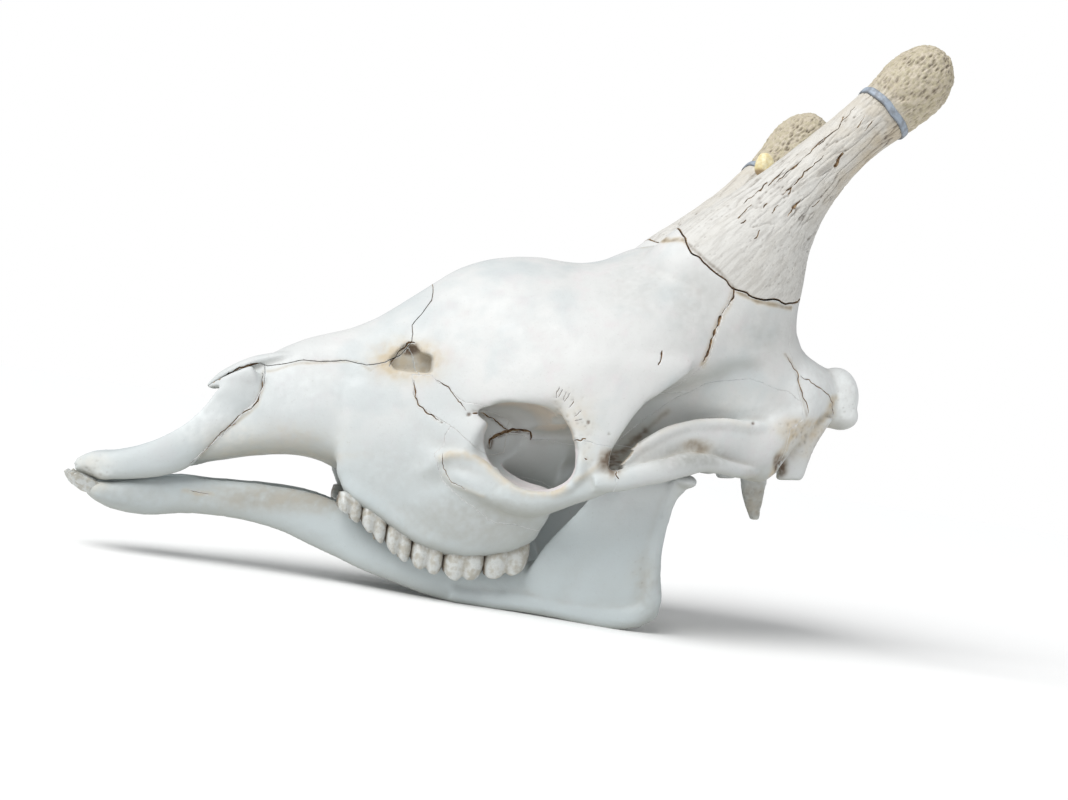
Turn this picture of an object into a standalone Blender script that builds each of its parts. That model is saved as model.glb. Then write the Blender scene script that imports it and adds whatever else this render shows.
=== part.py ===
"""A life-size giraffe skull with its lower jaw, resting on the lower borders of the jaw.

Sizes are in millimetres and are scaled once, when a mesh is made. X runs from the muzzle (-) to the
back of the head (+), Y to the animal's right side, and Z up from the surface that it rests on. The
finished bones are moved along X, so that the origin is at the middle of the whole skull's box, at
that surface. Paired shapes are given for the left side, at -Y, and mirrored.
"""
import math

import bmesh
import bpy
import numpy as np
from mathutils import Matrix, Vector
from mathutils.bvhtree import BVHTree

MM = 0.001                          # metres in a millimetre
GAP = 0.3                           # clearance between neighbouring bones
BOX_MIDDLE = -5                   # x of the middle of the skull's box, as it is drawn
VOXEL = 3.0                         # grain of the bone while its forms are fused
MASS_BLUR = 6                       # how much the main forms are softened into one another
DETAIL_BLUR = 2.5                   # and the thin processes and rims
JAW_BLUR = 3
SKULL_FACES = 4700                  # triangles before the bones are parted
JAW_FACES = 1050

ORBIT = Vector((19, -102, 139))     # middle of the left orbit's opening
RIM_LEAST = 2.3                     # the rim stands proud of the bone where it is thicker than this
RIM_LIFT = 0.75                     # how far outside the opening it runs, as a share of its thickness
RIM_SET_BACK = 3
RIM_FLARE = 0.46                    # how much further out it stands for each millimetre to the back
RIM_TAPER = 6                       # stations over which its ends thin out
RIM_END = 0.35                      # thickness of its ends, as a share
RIM_END_DEPTH = 6                   # how much deeper its ends would lie if they had no thickness
CONDYLE = Vector((301, -27, 225))   # left one of the two knuckles that the neck turns on
CONDYLE_RADII = (23, 18, 28)
CONDYLE_CORNER = Vector((309, -27, 211))  # its squared lower corner
CORNER_RADII = (17, 16, 14)
JAW_JOINT = Vector((152, -89, 130.5))
JAW_JOINT_RADII = (10, 16, 6)
HORN_SHORTENS_FROM = 380            # heights between which the right horn falls behind the left one
HORN_TIP = 500
FAR_HORN_SHORTER = Vector((26, 0, 26))  # how far the right knob stands behind and below the left one
HORN_SUTURE_LIFT = 40               # how much higher the horns' sutures are at the middle plane
LIFT_HALF_WIDTH = 80                # the lift fades out at this distance from the middle plane
LIFT_POWER = 1.5
FISSURE_FLOOR = 36                  # distance of the face opening's floor from the middle plane
FISSURE_REACH = 90
LACRIMAL_INNER = 30                 # distances of these bones' inner ends from the middle plane
ZYGOMATIC_INNER = 74
TEMPORAL_INNER = 50
CARVE_REACH = 160                   # half width of the space that a bone is carved from

# Middles of the bands, inside the horns.
BANDS = {"left": Vector((279, -82, 473)), "right": Vector((239, 76, 425))}
BAND_AXIS = Vector((0.59, 0.16, 0.79))
BAND_SIDES = 28
BAND_WIDTH = 7
BAND_THICKNESS = 2.8
BAND_DEPTH = 1.2                    # how deep the band lies in its groove
GROOVE_TOP = 8                      # how far the groove's cutter reaches out of the horn
LUMP = Vector((230, 50, 437))
LUMP_RADII = (9.5, 8.5, 14)

TOOTH_HALF_WIDTH = 9
LOWER_TOOTH_HALF_WIDTH = 6.5
ROOT_DEPTH = 10                     # how deep a tooth is sunk in the jaw
ROOT_SIZE = 0.7                     # of the crown's
LOBE_SIDES = 8
LOBE_SQUARENESS = 0.8               # power of the cosines that shape a lobe; 1 is an ellipse
LOBE_LENGTH = 1.12                  # of a lobe's share of its tooth, so that lobes run together
INCISORS_A_SIDE = 4

BONE = (0.80, 0.80, 0.76, 1)
HORN_BONE = (0.66, 0.61, 0.53, 1)
WIRE = (0.33, 0.40, 0.45, 1)
RESIN = (0.80, 0.68, 0.34, 1)

# Blocks are rings across the head: x, middle y, lowest z, z where widest, highest z, half width,
# and how square the ring is above and below its widest level (2 is an ellipse).
FACE = [
    (-246, 0, 79, 92, 108, 24, 2.0, 2.4), (-236, 0, 82, 103, 140, 28, 2.0, 2.4),
    (-222, 0, 86, 110, 160, 31, 2.0, 2.6), (-200, 0, 93, 118, 179, 34, 2.0, 2.6),
    (-170, 0, 99, 125, 199, 36, 1.9, 2.6), (-142, 0, 98, 132, 210.5, 39, 1.9, 2.6),
    (-119, 0, 90, 138, 223.5, 44, 1.8, 2.4), (-96, 0, 86, 145, 242, 52, 1.7, 2.2),
    (-73, 0, 86, 150, 262, 62, 1.7, 2.0), (-50, 0, 88, 155, 282, 72, 1.7, 2.0),
    (-25, 0, 92, 160, 293, 78, 1.7, 2.0), (0, 0, 96, 165, 298, 62, 1.7, 2.0),
    (30, 0, 98, 170, 300, 48, 1.7, 2.0), (60, 0, 100, 170, 300, 46, 1.7, 2.0),
]
CROWN = [
    (-70, 0, 150, 165, 262, 50, 1.7, 2.0), (-40, 0, 146, 166, 287, 76, 1.7, 2.0),
    (-10, 0, 146, 173, 299, 96, 1.65, 2.0), (20, 0, 150, 181, 304, 107, 1.65, 2.0),
    (50, 0, 154, 186, 305, 115, 1.7, 2.0), (75, 0, 168, 196, 312, 115, 1.75, 2.0),
    (100, 0, 180, 210, 327, 111, 1.8, 2.0), (125, 0, 190, 224, 335, 106, 1.9, 2.0),
    (150, 0, 194, 236, 335, 100, 2.0, 2.0), (172, 0, 200, 244, 330, 92, 2.2, 2.0),
    (200, 0, 206, 248, 320, 84, 2.3, 2.0), (228, 0, 206, 244, 306, 76, 2.3, 2.0),
    (247, 0, 204, 238, 285, 66, 2.3, 2.0), (262, 0, 202, 230, 260, 52, 2.2, 2.0),
]
BRAINCASE = [
    (40, 0, 116, 190, 290, 48, 2.0, 2.0), (70, 0, 124, 198, 295, 60, 2.0, 2.0),
    (100, 0, 130, 206, 300, 72, 2.0, 2.0), (130, 0, 134, 212, 300, 79, 2.0, 2.0),
    (165, 0, 138, 216, 300, 82, 2.0, 1.9), (195, 0, 142, 218, 300, 82, 2.0, 1.9),
    (220, 0, 150, 218, 293, 79, 2.0, 1.9), (240, 0, 158, 218, 283, 74, 2.0, 2.0),
    (256, 0, 170, 218, 270, 71, 2.2, 2.0), (268, 0, 180, 219, 261, 66, 2.3, 2.0),
    (282, 0, 188, 220, 256, 57, 2.3, 2.0), (298, 0, 196, 221, 252, 43, 2.3, 2.0),
    (310, 0, 206, 223, 251, 30, 2.2, 2.0),
]
CHEEK = [
    (-130, -38, 90, 112, 168, 6, 2.0, 2.4), (-120, -40, 80, 106, 170, 9, 2.0, 2.4),
    (-102, -43, 69, 98, 170, 13, 2.0, 2.4), (-71, -48, 54, 95, 172, 18, 2.0, 2.0),
    (-44, -54, 40, 94, 168, 22, 2.0, 1.8), (-19, -59, 38, 94, 150, 23, 2.0, 1.8),
    (5, -62, 43, 94, 122, 24, 2.0, 1.7), (24, -64, 50, 94, 110, 24, 2.0, 1.7),
    (37, -66, 62, 94, 108, 23, 2.0, 1.7), (46, -70, 82, 95, 108, 20, 2.0, 1.8),
]
EAR_REGION = [
    (176, -66, 150, 166, 183, 8, 2.0, 2.2), (196, -66, 143, 166, 195, 12, 2.0, 2.3),
    (214, -64, 139, 168, 205, 15, 2.0, 2.4), (232, -62, 140, 172, 215, 18, 2.0, 2.5),
    (246, -58, 158, 186, 222, 19, 2.0, 2.3),
    (260, -54, 177, 200, 228, 18, 2.0, 2.2), (276, -48, 190, 208, 232, 13, 2.0, 2.0),
]
# Bars are swept along a path: x, y, z, half width across the head, half depth.
PREMAXILLA = [
    (-334, -8, 64.5, 5, 5.5), (-322, -13, 67.6, 7, 10.4), (-305, -17, 69.6, 8, 12),
    (-288, -20, 74.3, 8, 13.2), (-272, -23, 80.5, 8, 15), (-256, -25, 90, 7, 16),
    (-243, -28, 105, 5.5, 13.5), (-232, -30, 120, 4.5, 13.5), (-222, -30.5, 135, 4, 15),
    (-213, -29, 149.5, 3.5, 14), (-205, -25.5, 163, 3, 10),
]
NOSE_EDGE = [
    (-206, -28, 161, 4, 8), (-217, -29, 156, 4, 7), (-228, -27, 151, 4, 5), (-237, -23, 147, 3, 3),
    (-241, -20, 144.5, 2.5, 2),
]
PALATE_PROCESS = [
    (-324, -4, 64, 3, 3), (-290, -5, 69, 3.5, 3), (-250, -6, 80, 4, 4), (-225, -6, 92, 5, 5),
]
NASAL = [
    (-243, -6, 145, 4, 2), (-231, -8, 156, 8, 4.5), (-212, -10, 169, 10, 5.5), (-192, -10, 178, 10, 4.5),
    (-172, -10, 184, 8, 3),
]
MALAR = [
    (-70, -52, 122, 12, 14), (-45, -66, 114, 13, 14), (-12, -82, 102, 13, 14),
    (24, -95, 95, 12, 13), (52, -106, 106, 10, 11), (78, -115, 119, 8, 10),
]
ALVEOLUS = [
    (-122, -42, 89, 5, 6), (-113, -44, 81, 9, 9), (-100, -47, 74.5, 11, 9), (-84, -50, 67, 11.5, 9),
    (-70, -53, 60, 12, 9), (-52, -56, 52.5, 12, 9), (-30, -59, 49.5, 12, 9), (-8, -61, 50.5, 12, 9),
    (14, -62, 57, 12, 9), (30, -63, 65, 11, 9), (38, -64, 72, 9, 8),
]
LACRIMAL_SWELL = [
    (-92, -38, 164, 10, 10), (-66, -52, 155, 12, 18), (-42, -64, 146, 13, 24), (-20, -73, 138, 14, 26),
]
JUGAL_RIDGE = [
    (-60, -67, 103, 6, 7), (-46, -75, 117, 6, 7), (-30, -80, 120, 6, 7), (-14, -86, 113, 6, 7),
    (2, -92, 105, 6, 6),
]
ARCH_ROLL = [
    (68, -117, 118, 8, 9), (88, -120, 123, 7, 9), (106, -119, 130, 6.5, 9), (126, -116, 137, 6.5, 9.5),
    (145, -110, 144.5, 7, 10), (160, -104, 148, 7, 8.5), (181, -96, 147, 7, 6.5), (204, -84, 146, 7, 6),
    (222, -68, 150, 6, 6),
]
ARCH_PLATE = [
    (92, -113, 130, 4, 8), (112, -109, 144, 4, 12), (132, -103, 157, 4.5, 15), (155, -97, 166, 5, 17),
    (180, -88, 168, 7, 19), (208, -76, 168, 9, 22), (235, -68, 172, 12, 24),
]
ARCH_CREST = [
    (88, -114, 136, 4, 4), (103, -110, 151, 4.5, 4.5), (125, -105, 167, 4.5, 4.5),
    (149, -99, 177, 4.5, 4.5), (178, -91, 183, 5, 5), (202, -82, 184, 5, 5), (226, -71, 186, 6, 6),
    (246, -60, 193, 7, 7),
]
EAR_HOOK = [
    (235, -36, 156, 7, 15.5), (236, -36, 139, 6.5, 14), (239, -36, 124, 6, 12), (243.5, -36, 107, 4, 7.5),
]
BROKEN_HOOK = [(233, -36, 156, 7, 13), (234, -36, 146, 6.5, 12), (235, -36, 138, 5, 9)]
PTERYGOID = [
    (40, -22, 88, 3.5, 14), (60, -22, 86, 3, 15), (82, -21, 98, 3, 14), (102, -20, 114, 3, 10),
]
SKULL_BASE = [
    (40, 0, 108, 22, 12), (90, 0, 128, 20, 12), (150, 0, 148, 20, 14), (210, 0, 170, 22, 14),
    (262, 0, 186, 24, 12), (292, 0, 198, 22, 9),
]
JAW_BODY = [
    (-322, -14, 49, 7, 5), (-312, -15, 47, 10, 8.5), (-298, -13, 45.7, 11, 12.3),
    (-274, -11, 48.5, 10.5, 15.7), (-251, -11, 53.5, 10, 16), (-227, -13, 55, 8.5, 15),
    (-196, -16, 56, 8, 16), (-165, -18, 54.5, 8, 18.5), (-140, -19, 50, 8.5, 21),
    (-114, -21, 42, 9, 21), (-88, -26, 33, 10, 20), (-62, -31, 26, 10, 19), (-37, -36, 21, 10, 19),
    (-12, -40, 18, 10, 19), (14, -43, 18, 9.5, 18), (38, -48, 21, 8.5, 20), (58, -56, 27, 8, 23),
    (74, -62, 34, 7, 24),
]
JAW_BORDER = [
    (-20, -44, 8, 7, 8), (10, -47, 8, 7, 9), (39, -53, 9, 7, 9), (70, -61, 9, 7, 9), (92, -67, 8, 7, 9.5),
    (114, -73, 8, 7, 10), (134, -77, 14, 7, 9), (144, -79, 28, 6, 8), (141, -79, 48, 5, 7),
    (139, -80, 70, 5, 7), (140, -82, 95, 5, 7), (143, -85, 115, 5, 7), (148, -88, 126, 6, 8),
]
CORONOID = [
    (106, -79, 112, 4.5, 18), (112, -79, 130, 4, 13), (121, -77, 148, 3.5, 9), (129, -75, 161, 3, 5),
]
# Plates are swept from one edge to another: x, y, z of the front edge, the same of the back edge,
# and half thickness.
EYE_BAR = [
    (50, -84, 244, 150, -88, 246, 9), (49, -104, 220, 140, -106, 222, 9),
    (41, -106, 202, 122, -111, 203, 8.5), (34, -105, 187, 103, -115, 187, 8),
    (34, -105, 171, 91, -118, 168, 7.5), (40, -106, 156, 84, -120, 154, 7),
    (46, -108, 141, 79, -120, 140, 7), (48, -108, 126, 82, -120, 126, 7),
    (46, -108, 112, 88, -118, 113, 6),
]
PAROCCIPITAL = [
    (268, -46, 204, 296, -42, 206, 7), (262, -53, 193, 287, -48, 195, 7),
    (254, -56, 180, 279, -51, 180, 6.5), (248, -57, 164, 274, -53, 164, 6),
    (246, -56, 152, 272, -53, 152, 5.5), (247, -55, 144, 270, -53, 147, 5),
]
HORN = [
    (94, -46, 286, 250, -44, 252, 44), (102, -46, 318, 244, -46, 284, 46),
    (126, -47, 347, 244, -48, 311, 45), (148, -50, 366, 243.5, -50, 331, 41),
    (171, -53, 387, 245, -53, 353, 36), (195, -57, 411, 251, -57, 377, 31),
    (217, -62, 435, 261.5, -63, 402.5, 27), (235, -69, 456, 276, -70, 427, 24.5),
    (248, -76, 472, 295.5, -78, 448, 24), (260, -82, 488, 315, -84, 467, 27),
    (270, -86, 504, 329, -88, 485, 31), (281, -88, 520, 334, -90, 503, 31),
    (295, -88, 531, 330.5, -90, 518, 26), (306, -88, 535, 319.5, -89, 528, 15),
]
RAMUS = [
    (62, -61, 1, 138, -75, 3, 5), (46, -57, 14, 152, -77, 14, 6), (38, -57, 30, 153, -78, 30, 6.5),
    (43, -62, 48, 149, -79, 50, 6), (53, -66, 67, 146, -80, 68, 6), (68, -71, 89, 147, -82, 90, 6),
    (81, -75, 110, 149, -84, 110, 6), (90, -77, 122, 150, -86, 122, 5.5),
    (102, -78, 132, 142, -85, 129, 5),
]

# The left eye socket's opening as x and z, and the rim's thickness at each corner.
ORBIT_OUTLINE = [
    (52, 137, 4.6), (50, 147, 3.6), (45, 157, 2.2), (38, 165, 1.5), (29, 170, 1.2), (20, 172, 1.2),
    (8, 171, 1.2), (-6, 168, 1.2), (-15, 163, 1.2), (-20, 158, 1.0), (-17, 153, 1.0), (-8, 149, 1.2),
    (-9, 143, 1.6), (-10, 137, 1.8), (-7, 126, 2.1), (0, 113, 2.6), (11, 105.5, 3.0), (22, 103, 3.0),
    (33, 103.5, 3.2), (44, 108.5, 3.8), (50, 117.5, 4.4), (53, 127, 4.8),
]
# Hollows, as blocks or bars.
# The eye socket inwards: x and z of its middle, y, and its size as a share of the opening's.
ORBIT_DEPTHS = [
    (22, 139, -160, 1.0), (20, 139, -112, 1.0), (17, 140, -92, 1.0), (13, 141, -74, 1.02),
    (7, 143, -56, 0.82), (1, 145, -44, 0.42),
]
TEMPORAL_PASSAGE = [
    (24, -80, 142, 14, 22), (60, -86, 148, 14, 24), (100, -84, 158, 12, 22), (130, -82, 166, 10, 16),
]
NOSE = [
    (-275, 0, 84, 120, 190, 19, 2, 2), (-236, 0, 93, 125, 190, 21, 2, 2),
    (-232, 0, 93, 118, 146, 22, 2, 2), (-200, 0, 104, 130, 158, 24, 2, 2),
    (-160, 0, 112, 145, 176, 22, 2, 2), (-120, 0, 130, 155, 190, 12, 2, 2),
]
MARROW_HOLE = [(335, 0, 219, 17, 17), (300, 0, 221, 17, 17), (262, 0, 226, 16, 16)]

# Side outlines (x, z) of the bones, in the order in which they are parted from the whole. Where two
# bones meet, the first one's outline gives the suture, and the second one's runs past it.
HORN_SUTURE = [
    (112, 352), (122, 335), (133, 319), (147, 307), (169, 296), (187, 292), (224, 292), (252, 297),
    (420, 330), (420, 620), (100, 620),
]
NASAL_OUTLINE = [
    (-262, 138), (-244, 143), (-238, 149.5), (-227, 158), (-217, 164.5), (-204, 171), (-198, 169),
    (-173, 178), (-136, 184), (-118, 183),
    (-103, 188), (-92, 196), (-84, 209), (-86, 223), (-78, 237), (-72, 246), (-66, 320), (-262, 320),
]
PREMAXILLA_OUTLINE = [
    (-380, 20), (-262, 20), (-245, 80), (-222, 112), (-203, 138), (-198, 152), (-200, 176), (-380, 176),
]
OCCIPITAL_OUTLINE = [
    (228, 310), (233, 256), (243, 239), (246, 222), (255, 200), (243, 188), (243, 100), (380, 100),
    (380, 310),
]
LACRIMAL_OUTLINE = [
    (-81, 182), (-79, 167), (-72, 157), (-61, 152), (-45, 145), (-30, 134), (-10, 124), (6, 130),
    (6, 158), (-18, 162), (-30, 167), (-37, 166), (-47, 172), (-57, 178), (-68, 184),
]
ZYGOMATIC_OUTLINE = [
    (-56, 120), (-47, 101), (-16, 82), (1, 74), (35, 72), (62, 80), (85, 96), (84, 128), (98, 149),
    (48, 149), (20, 146), (-10, 132), (-30, 140), (-45, 150),
]
TEMPORAL_OUTLINE = [
    (82, 80), (82, 128), (96, 150), (108, 168), (130, 192), (160, 214), (200, 224), (238, 220),
    (262, 210), (262, 80),
]
MAXILLA_OUTLINE = [
    (-300, 10), (78, 10), (78, 100), (46, 109), (0, 114), (-42, 150), (-64, 160), (-74, 178),
    (-80, 192), (-88, 206), (-120, 214), (-300, 214),
]
FRONTAL_OUTLINE = [
    (-120, 150), (-84, 166), (-60, 158), (-10, 146), (60, 146), (98, 148), (100, 178), (119, 197),
    (140, 215), (152, 228), (155, 245), (160, 263), (168, 296), (172, 420), (-120, 420),
]
PARIETAL_OUTLINE = [
    (100, 196), (150, 205), (200, 212), (240, 206), (280, 206), (280, 420), (130, 420),
]
FISSURE_OUTLINE = [
    (-101, 190), (-91, 205), (-83, 206), (-77, 201), (-67, 199), (-66, 185), (-81, 184), (-95, 183),
]
JAW_OUTLINE = [(-500, -50), (500, -50), (500, 400), (-500, 400)]
GROUND_OUTLINE = [(-400, -30), (400, -30), (400, 0), (-400, 0)]

# Cheek teeth: middle x, length along the row and number of lobes. Then y of the row, and z of the
# gum and of the tips, at some x.
UPPER_TEETH = [
    (-114, 20.5, 1), (-92.5, 21.5, 1), (-70.5, 21.5, 1), (-46, 26, 2), (-15.5, 32, 2), (19, 35, 2),
]
UPPER_ROW_Y = [(-125, -42), (-60, -52), (-16, -58), (40, -61)]
UPPER_GUM = [
    (-120, 74), (-101, 66), (-88, 59), (-71, 51), (-57, 44), (-44, 41), (-19, 40), (5, 45), (25, 52),
    (40, 60),
]
UPPER_TIPS = [
    (-120, 62), (-103, 52), (-91, 45), (-73, 33), (-56, 26), (-41, 23), (-20, 20), (0, 24), (20, 29),
    (41, 37),
]
LOWER_TEETH = [(-104, 17, 1), (-85, 18, 1), (-65, 19, 1), (-42, 23, 2), (-14, 28, 2), (19, 33, 2)]
LOWER_ROW_Y = [(-110, -27), (-60, -35), (-12, -41), (30, -45)]
LOWER_GUM = [(-110, 62), (-85, 50), (-60, 42), (-35, 37), (0, 34), (36, 42)]
LOWER_TIPS = [(-110, 72), (-85, 60), (-60, 52), (-35, 47), (0, 45), (36, 54)]
# Rings of a lobe: how far down the crown, size, and how far it leans to the cheek.
LOBE_RINGS = [(0.0, 0.9, 0.0), (0.45, 1.0, 0.0), (0.85, 0.86, 0.1), (1.0, 0.4, 0.4)]
# An incisor, from its root to its edge: x, y as a share of its place in the fan, z, half width and
# half depth, and how much of its step back in the fan counts there.
INCISOR = [
    (-309, 0.8, 46, 2.7, 4.0, 0.4), (-321, 0.9, 48, 2.9, 5.2, 0.7), (-331, 1.0, 51.5, 3.2, 5.2, 1.0),
    (-338, 1.01, 55, 3.3, 3.8, 1.0), (-342.5, 1.02, 59, 3.1, 1.5, 1.0),
]
INCISOR_FIRST_Y = 3.6
INCISOR_PITCH = 5.6
INCISOR_STEP_BACK = 3.2


def spline(stations, steps=5):
    """Catmull-Rom curve through rows of numbers, with a number of steps to each gap."""
    rows = np.array(stations, float)
    padded = np.vstack([2 * rows[0] - rows[1], rows, 2 * rows[-1] - rows[-2]])
    out = []
    for i in range(1, len(padded) - 2):
        before, start, end, after = padded[i - 1:i + 3]
        for t in np.arange(steps) / steps:
            out.append(0.5 * (2 * start + (end - before) * t
                              + (2 * before - 5 * start + 4 * end - after) * t * t
                              + (3 * start - before - 3 * end + after) * t ** 3))
    out.append(rows[-1])
    return np.array(out)


def skinned(rings, closed=False):
    """(points, faces) of a closed skin over rings of equal counts, facing out."""
    rings = np.array(rings)
    count, sides = rings.shape[:2]
    points = rings.reshape(-1, 3)
    faces = []
    for i in range(count if closed else count - 1):
        j = (i + 1) % count
        for k in range(sides):
            m = (k + 1) % sides
            faces.append((i * sides + k, i * sides + m, j * sides + m, j * sides + k))
    if not closed:
        faces.append(tuple(reversed(range(sides))))
        faces.append(tuple(range((count - 1) * sides, count * sides)))
    return outward((points, faces))


def outward(solid):
    """The solid with its faces turned to point out."""
    points, faces = solid
    volume = 0.0
    for face in faces:
        a = points[face[0]]
        for p, q in zip(face[1:], face[2:]):
            volume += np.dot(a, np.cross(points[p], points[q]))
    return (points, [tuple(reversed(f)) for f in faces]) if volume < 0 else (points, faces)


def mirrored(solid):
    """The solid on the other side of the middle plane."""
    points, faces = solid
    return points * np.array([1, -1, 1]), [tuple(reversed(f)) for f in faces]


def both(solid):
    """The solid and its mirror image."""
    return [solid, mirrored(solid)]


def block(stations, sides=40):
    """A solid of rings that stand across the head."""
    angles = np.arange(sides) * 2 * math.pi / sides
    rings = []
    for x, y, low, wide, high, half, top_power, low_power in spline(stations):
        power = np.where(np.sin(angles) > 0, top_power, low_power)
        across = np.sign(np.cos(angles)) * np.abs(np.cos(angles)) ** (2 / power)
        rise = np.abs(np.sin(angles)) ** (2 / power)
        z = np.where(np.sin(angles) > 0, wide + (high - wide) * rise, wide - (wide - low) * rise)
        rings.append(np.column_stack([np.full(sides, x), y + half * across, z]))
    return skinned(rings)


def bar(stations, across=(0, 1, 0), sides=20, power=2.0, steps=5, closed=False):
    """A solid swept along stations of x, y, z, half width along `across`, and half depth."""
    rows = spline(stations, steps) if not closed else np.array(stations, float)
    path = rows[:, :3]
    if closed:
        run = np.roll(path, -1, 0) - np.roll(path, 1, 0)
    else:
        run = np.gradient(path, axis=0)
    angles = np.arange(sides) * 2 * math.pi / sides
    wide = np.sign(np.cos(angles)) * np.abs(np.cos(angles)) ** (2 / power)
    deep = np.sign(np.sin(angles)) * np.abs(np.sin(angles)) ** (2 / power)
    rings = []
    for row, tangent in zip(rows, run):
        tangent = tangent / np.linalg.norm(tangent)
        side = np.array(across, float) - np.dot(across, tangent) * tangent
        side = side / np.linalg.norm(side)
        out = np.cross(tangent, side)
        rings.append(row[:3] + np.outer(wide * row[3], side) + np.outer(deep * row[4], out))
    return skinned(rings, closed)


def plate(stations, sides=20, power=2.0):
    """A solid whose rings reach from a front edge to a back edge: x, y, z of each, and half thickness."""
    angles = np.arange(sides) * 2 * math.pi / sides
    thick = np.sign(np.cos(angles)) * np.abs(np.cos(angles)) ** (2 / power)
    along = np.sign(np.sin(angles)) * np.abs(np.sin(angles)) ** (2 / power)
    rings = []
    for row in spline(stations):
        front, back = row[:3], row[3:6]
        reach = (back - front) / 2
        side = np.array((0.0, 1.0, 0.0)) - reach * reach[1] / np.dot(reach, reach)
        side /= np.linalg.norm(side)
        rings.append((front + back) / 2 + np.outer(along, reach) + np.outer(thick * row[6], side))
    return skinned(rings)


def ball(centre, radii, rows=14, sides=24):
    """An ellipsoid."""
    rings = []
    for i in range(1, rows):
        lift = math.pi * i / rows - math.pi / 2
        turn = np.arange(sides) * 2 * math.pi / sides
        rings.append(np.column_stack([centre[0] + radii[0] * math.cos(lift) * np.cos(turn),
                                      centre[1] + radii[1] * math.cos(lift) * np.sin(turn),
                                      np.full(sides, centre[2] + radii[2] * math.sin(lift))]))
    return skinned(rings)


def orbit_opening():
    """The left eye socket's opening as a smooth closed curve of x, z and rim thickness."""
    steps = 2
    looped = ORBIT_OUTLINE[-2:] + ORBIT_OUTLINE + ORBIT_OUTLINE[:3]
    return spline(looped, steps)[2 * steps:(len(ORBIT_OUTLINE) + 2) * steps]


def orbit_socket():
    """The hollow of the left eye socket."""
    curve = orbit_opening()[:, :2] - np.array([ORBIT.x + 1, ORBIT.z])
    rings = []
    for x, z, y, size in spline(ORBIT_DEPTHS):
        rings.append(np.column_stack([x + curve[:, 0] * size, np.full(len(curve), y),
                                      z + curve[:, 1] * size]))
    return skinned(rings)


def orbit_rim():
    """The bar of bone round the left eye, from its upper back round to its front."""
    curve = np.roll(orbit_opening(), -len(ORBIT_OUTLINE), axis=0)
    ahead = np.gradient(curve[:, :2], axis=0)
    ahead /= np.linalg.norm(ahead, axis=1)[:, None]
    out = np.column_stack([ahead[:, 1], -ahead[:, 0]])
    from_middle = curve[:, :2] - np.array([ORBIT.x, ORBIT.z])
    out *= np.sign(np.sum(out * from_middle, axis=1))[:, None]
    thick = curve[:, 2]
    place = curve[:, :2] + out * (thick * RIM_LIFT)[:, None]
    y = ORBIT.y + RIM_SET_BACK - RIM_FLARE * (place[:, 0] - ORBIT.x)
    stations = np.column_stack([place[:, 0], y, place[:, 1], thick, thick])[thick > RIM_LEAST]
    from_end = np.minimum(np.arange(len(stations)), np.arange(len(stations))[::-1])
    full = np.clip(RIM_END + from_end / RIM_TAPER, 0, 1)
    stations[:, 3:] *= full[:, None]
    stations[:, 1] += RIM_END_DEPTH * (1 - full)
    return bar(stations, sides=12, steps=1)


def mesh_object(name, solids, colour=BONE, roughness=0.6):
    """One mesh object from closed solids, which may overlap."""
    points, faces = [], []
    for solid_points, solid_faces in solids:
        shift = len(points)
        points.extend((np.array(solid_points) * MM).tolist())
        faces.extend(tuple(i + shift for i in face) for face in solid_faces)
    mesh = bpy.data.meshes.new(name)
    mesh.from_pydata(points, [], faces)
    obj = bpy.data.objects.new(name, mesh)
    bpy.context.scene.collection.objects.link(obj)
    paint(obj, colour, roughness)
    return obj


def paint(obj, colour, roughness, metallic=0.0):
    """Gives the object its one plain material."""
    material = bpy.data.materials.new(obj.name)
    material.use_nodes = True
    shader = material.node_tree.nodes["Principled BSDF"]
    shader.inputs["Base Color"].default_value = colour
    shader.inputs["Roughness"].default_value = roughness
    shader.inputs["Metallic"].default_value = metallic
    obj.data.materials.clear()
    obj.data.materials.append(material)


def apply_modifiers(obj):
    """Makes the object's evaluated mesh its own."""
    bpy.context.view_layer.update()
    graph = bpy.context.evaluated_depsgraph_get()
    made = bpy.data.meshes.new_from_object(obj.evaluated_get(graph))
    obj.modifiers.clear()
    obj.data = made


def fuse(obj, blur):
    """Fuses overlapping solids into one skin, and softens it by about `blur` millimetres."""
    remesh = obj.modifiers.new("fuse", "REMESH")
    remesh.mode = "VOXEL"
    remesh.voxel_size = VOXEL * MM
    soften = obj.modifiers.new("soften", "SMOOTH")
    soften.factor = 0.5
    soften.iterations = round(4 * (blur / VOXEL) ** 2)
    apply_modifiers(obj)


def boolean(obj, others, operation):
    """Applies one Boolean of the object with a collection of closed solids, and removes them."""
    group = bpy.data.collections.new("others")
    bpy.context.scene.collection.children.link(group)
    for other in others:
        bpy.context.scene.collection.objects.unlink(other)
        group.objects.link(other)
    modifier = obj.modifiers.new("cut", "BOOLEAN")
    modifier.operation = operation
    modifier.solver = "MANIFOLD"
    modifier.operand_type = "COLLECTION"
    modifier.collection = group
    apply_modifiers(obj)
    for other in others:
        bpy.data.objects.remove(other)
    bpy.data.collections.remove(group)


def add_to(obj, solids):
    """Joins more closed solids to the object's mesh, to be fused next."""
    extra = mesh_object("extra", solids)
    grown = bmesh.new()
    grown.from_mesh(obj.data)
    grown.from_mesh(extra.data)
    grown.to_mesh(obj.data)
    grown.free()
    bpy.data.objects.remove(extra)


def offset(outline, distance):
    """The closed outline with every side moved out by a distance, or in by a negative one."""
    points = np.array(outline, float)
    run = np.roll(points, -1, 0) - points
    run /= np.linalg.norm(run, axis=1)[:, None]
    area = np.sum(points[:, 0] * np.roll(points[:, 1], -1) - np.roll(points[:, 0], -1) * points[:, 1])
    out = np.column_stack([run[:, 1], -run[:, 0]]) * np.sign(area)
    before = np.roll(out, 1, 0)
    return points + distance * (before + out) / (1 + np.sum(before * out, axis=1))[:, None]


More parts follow.
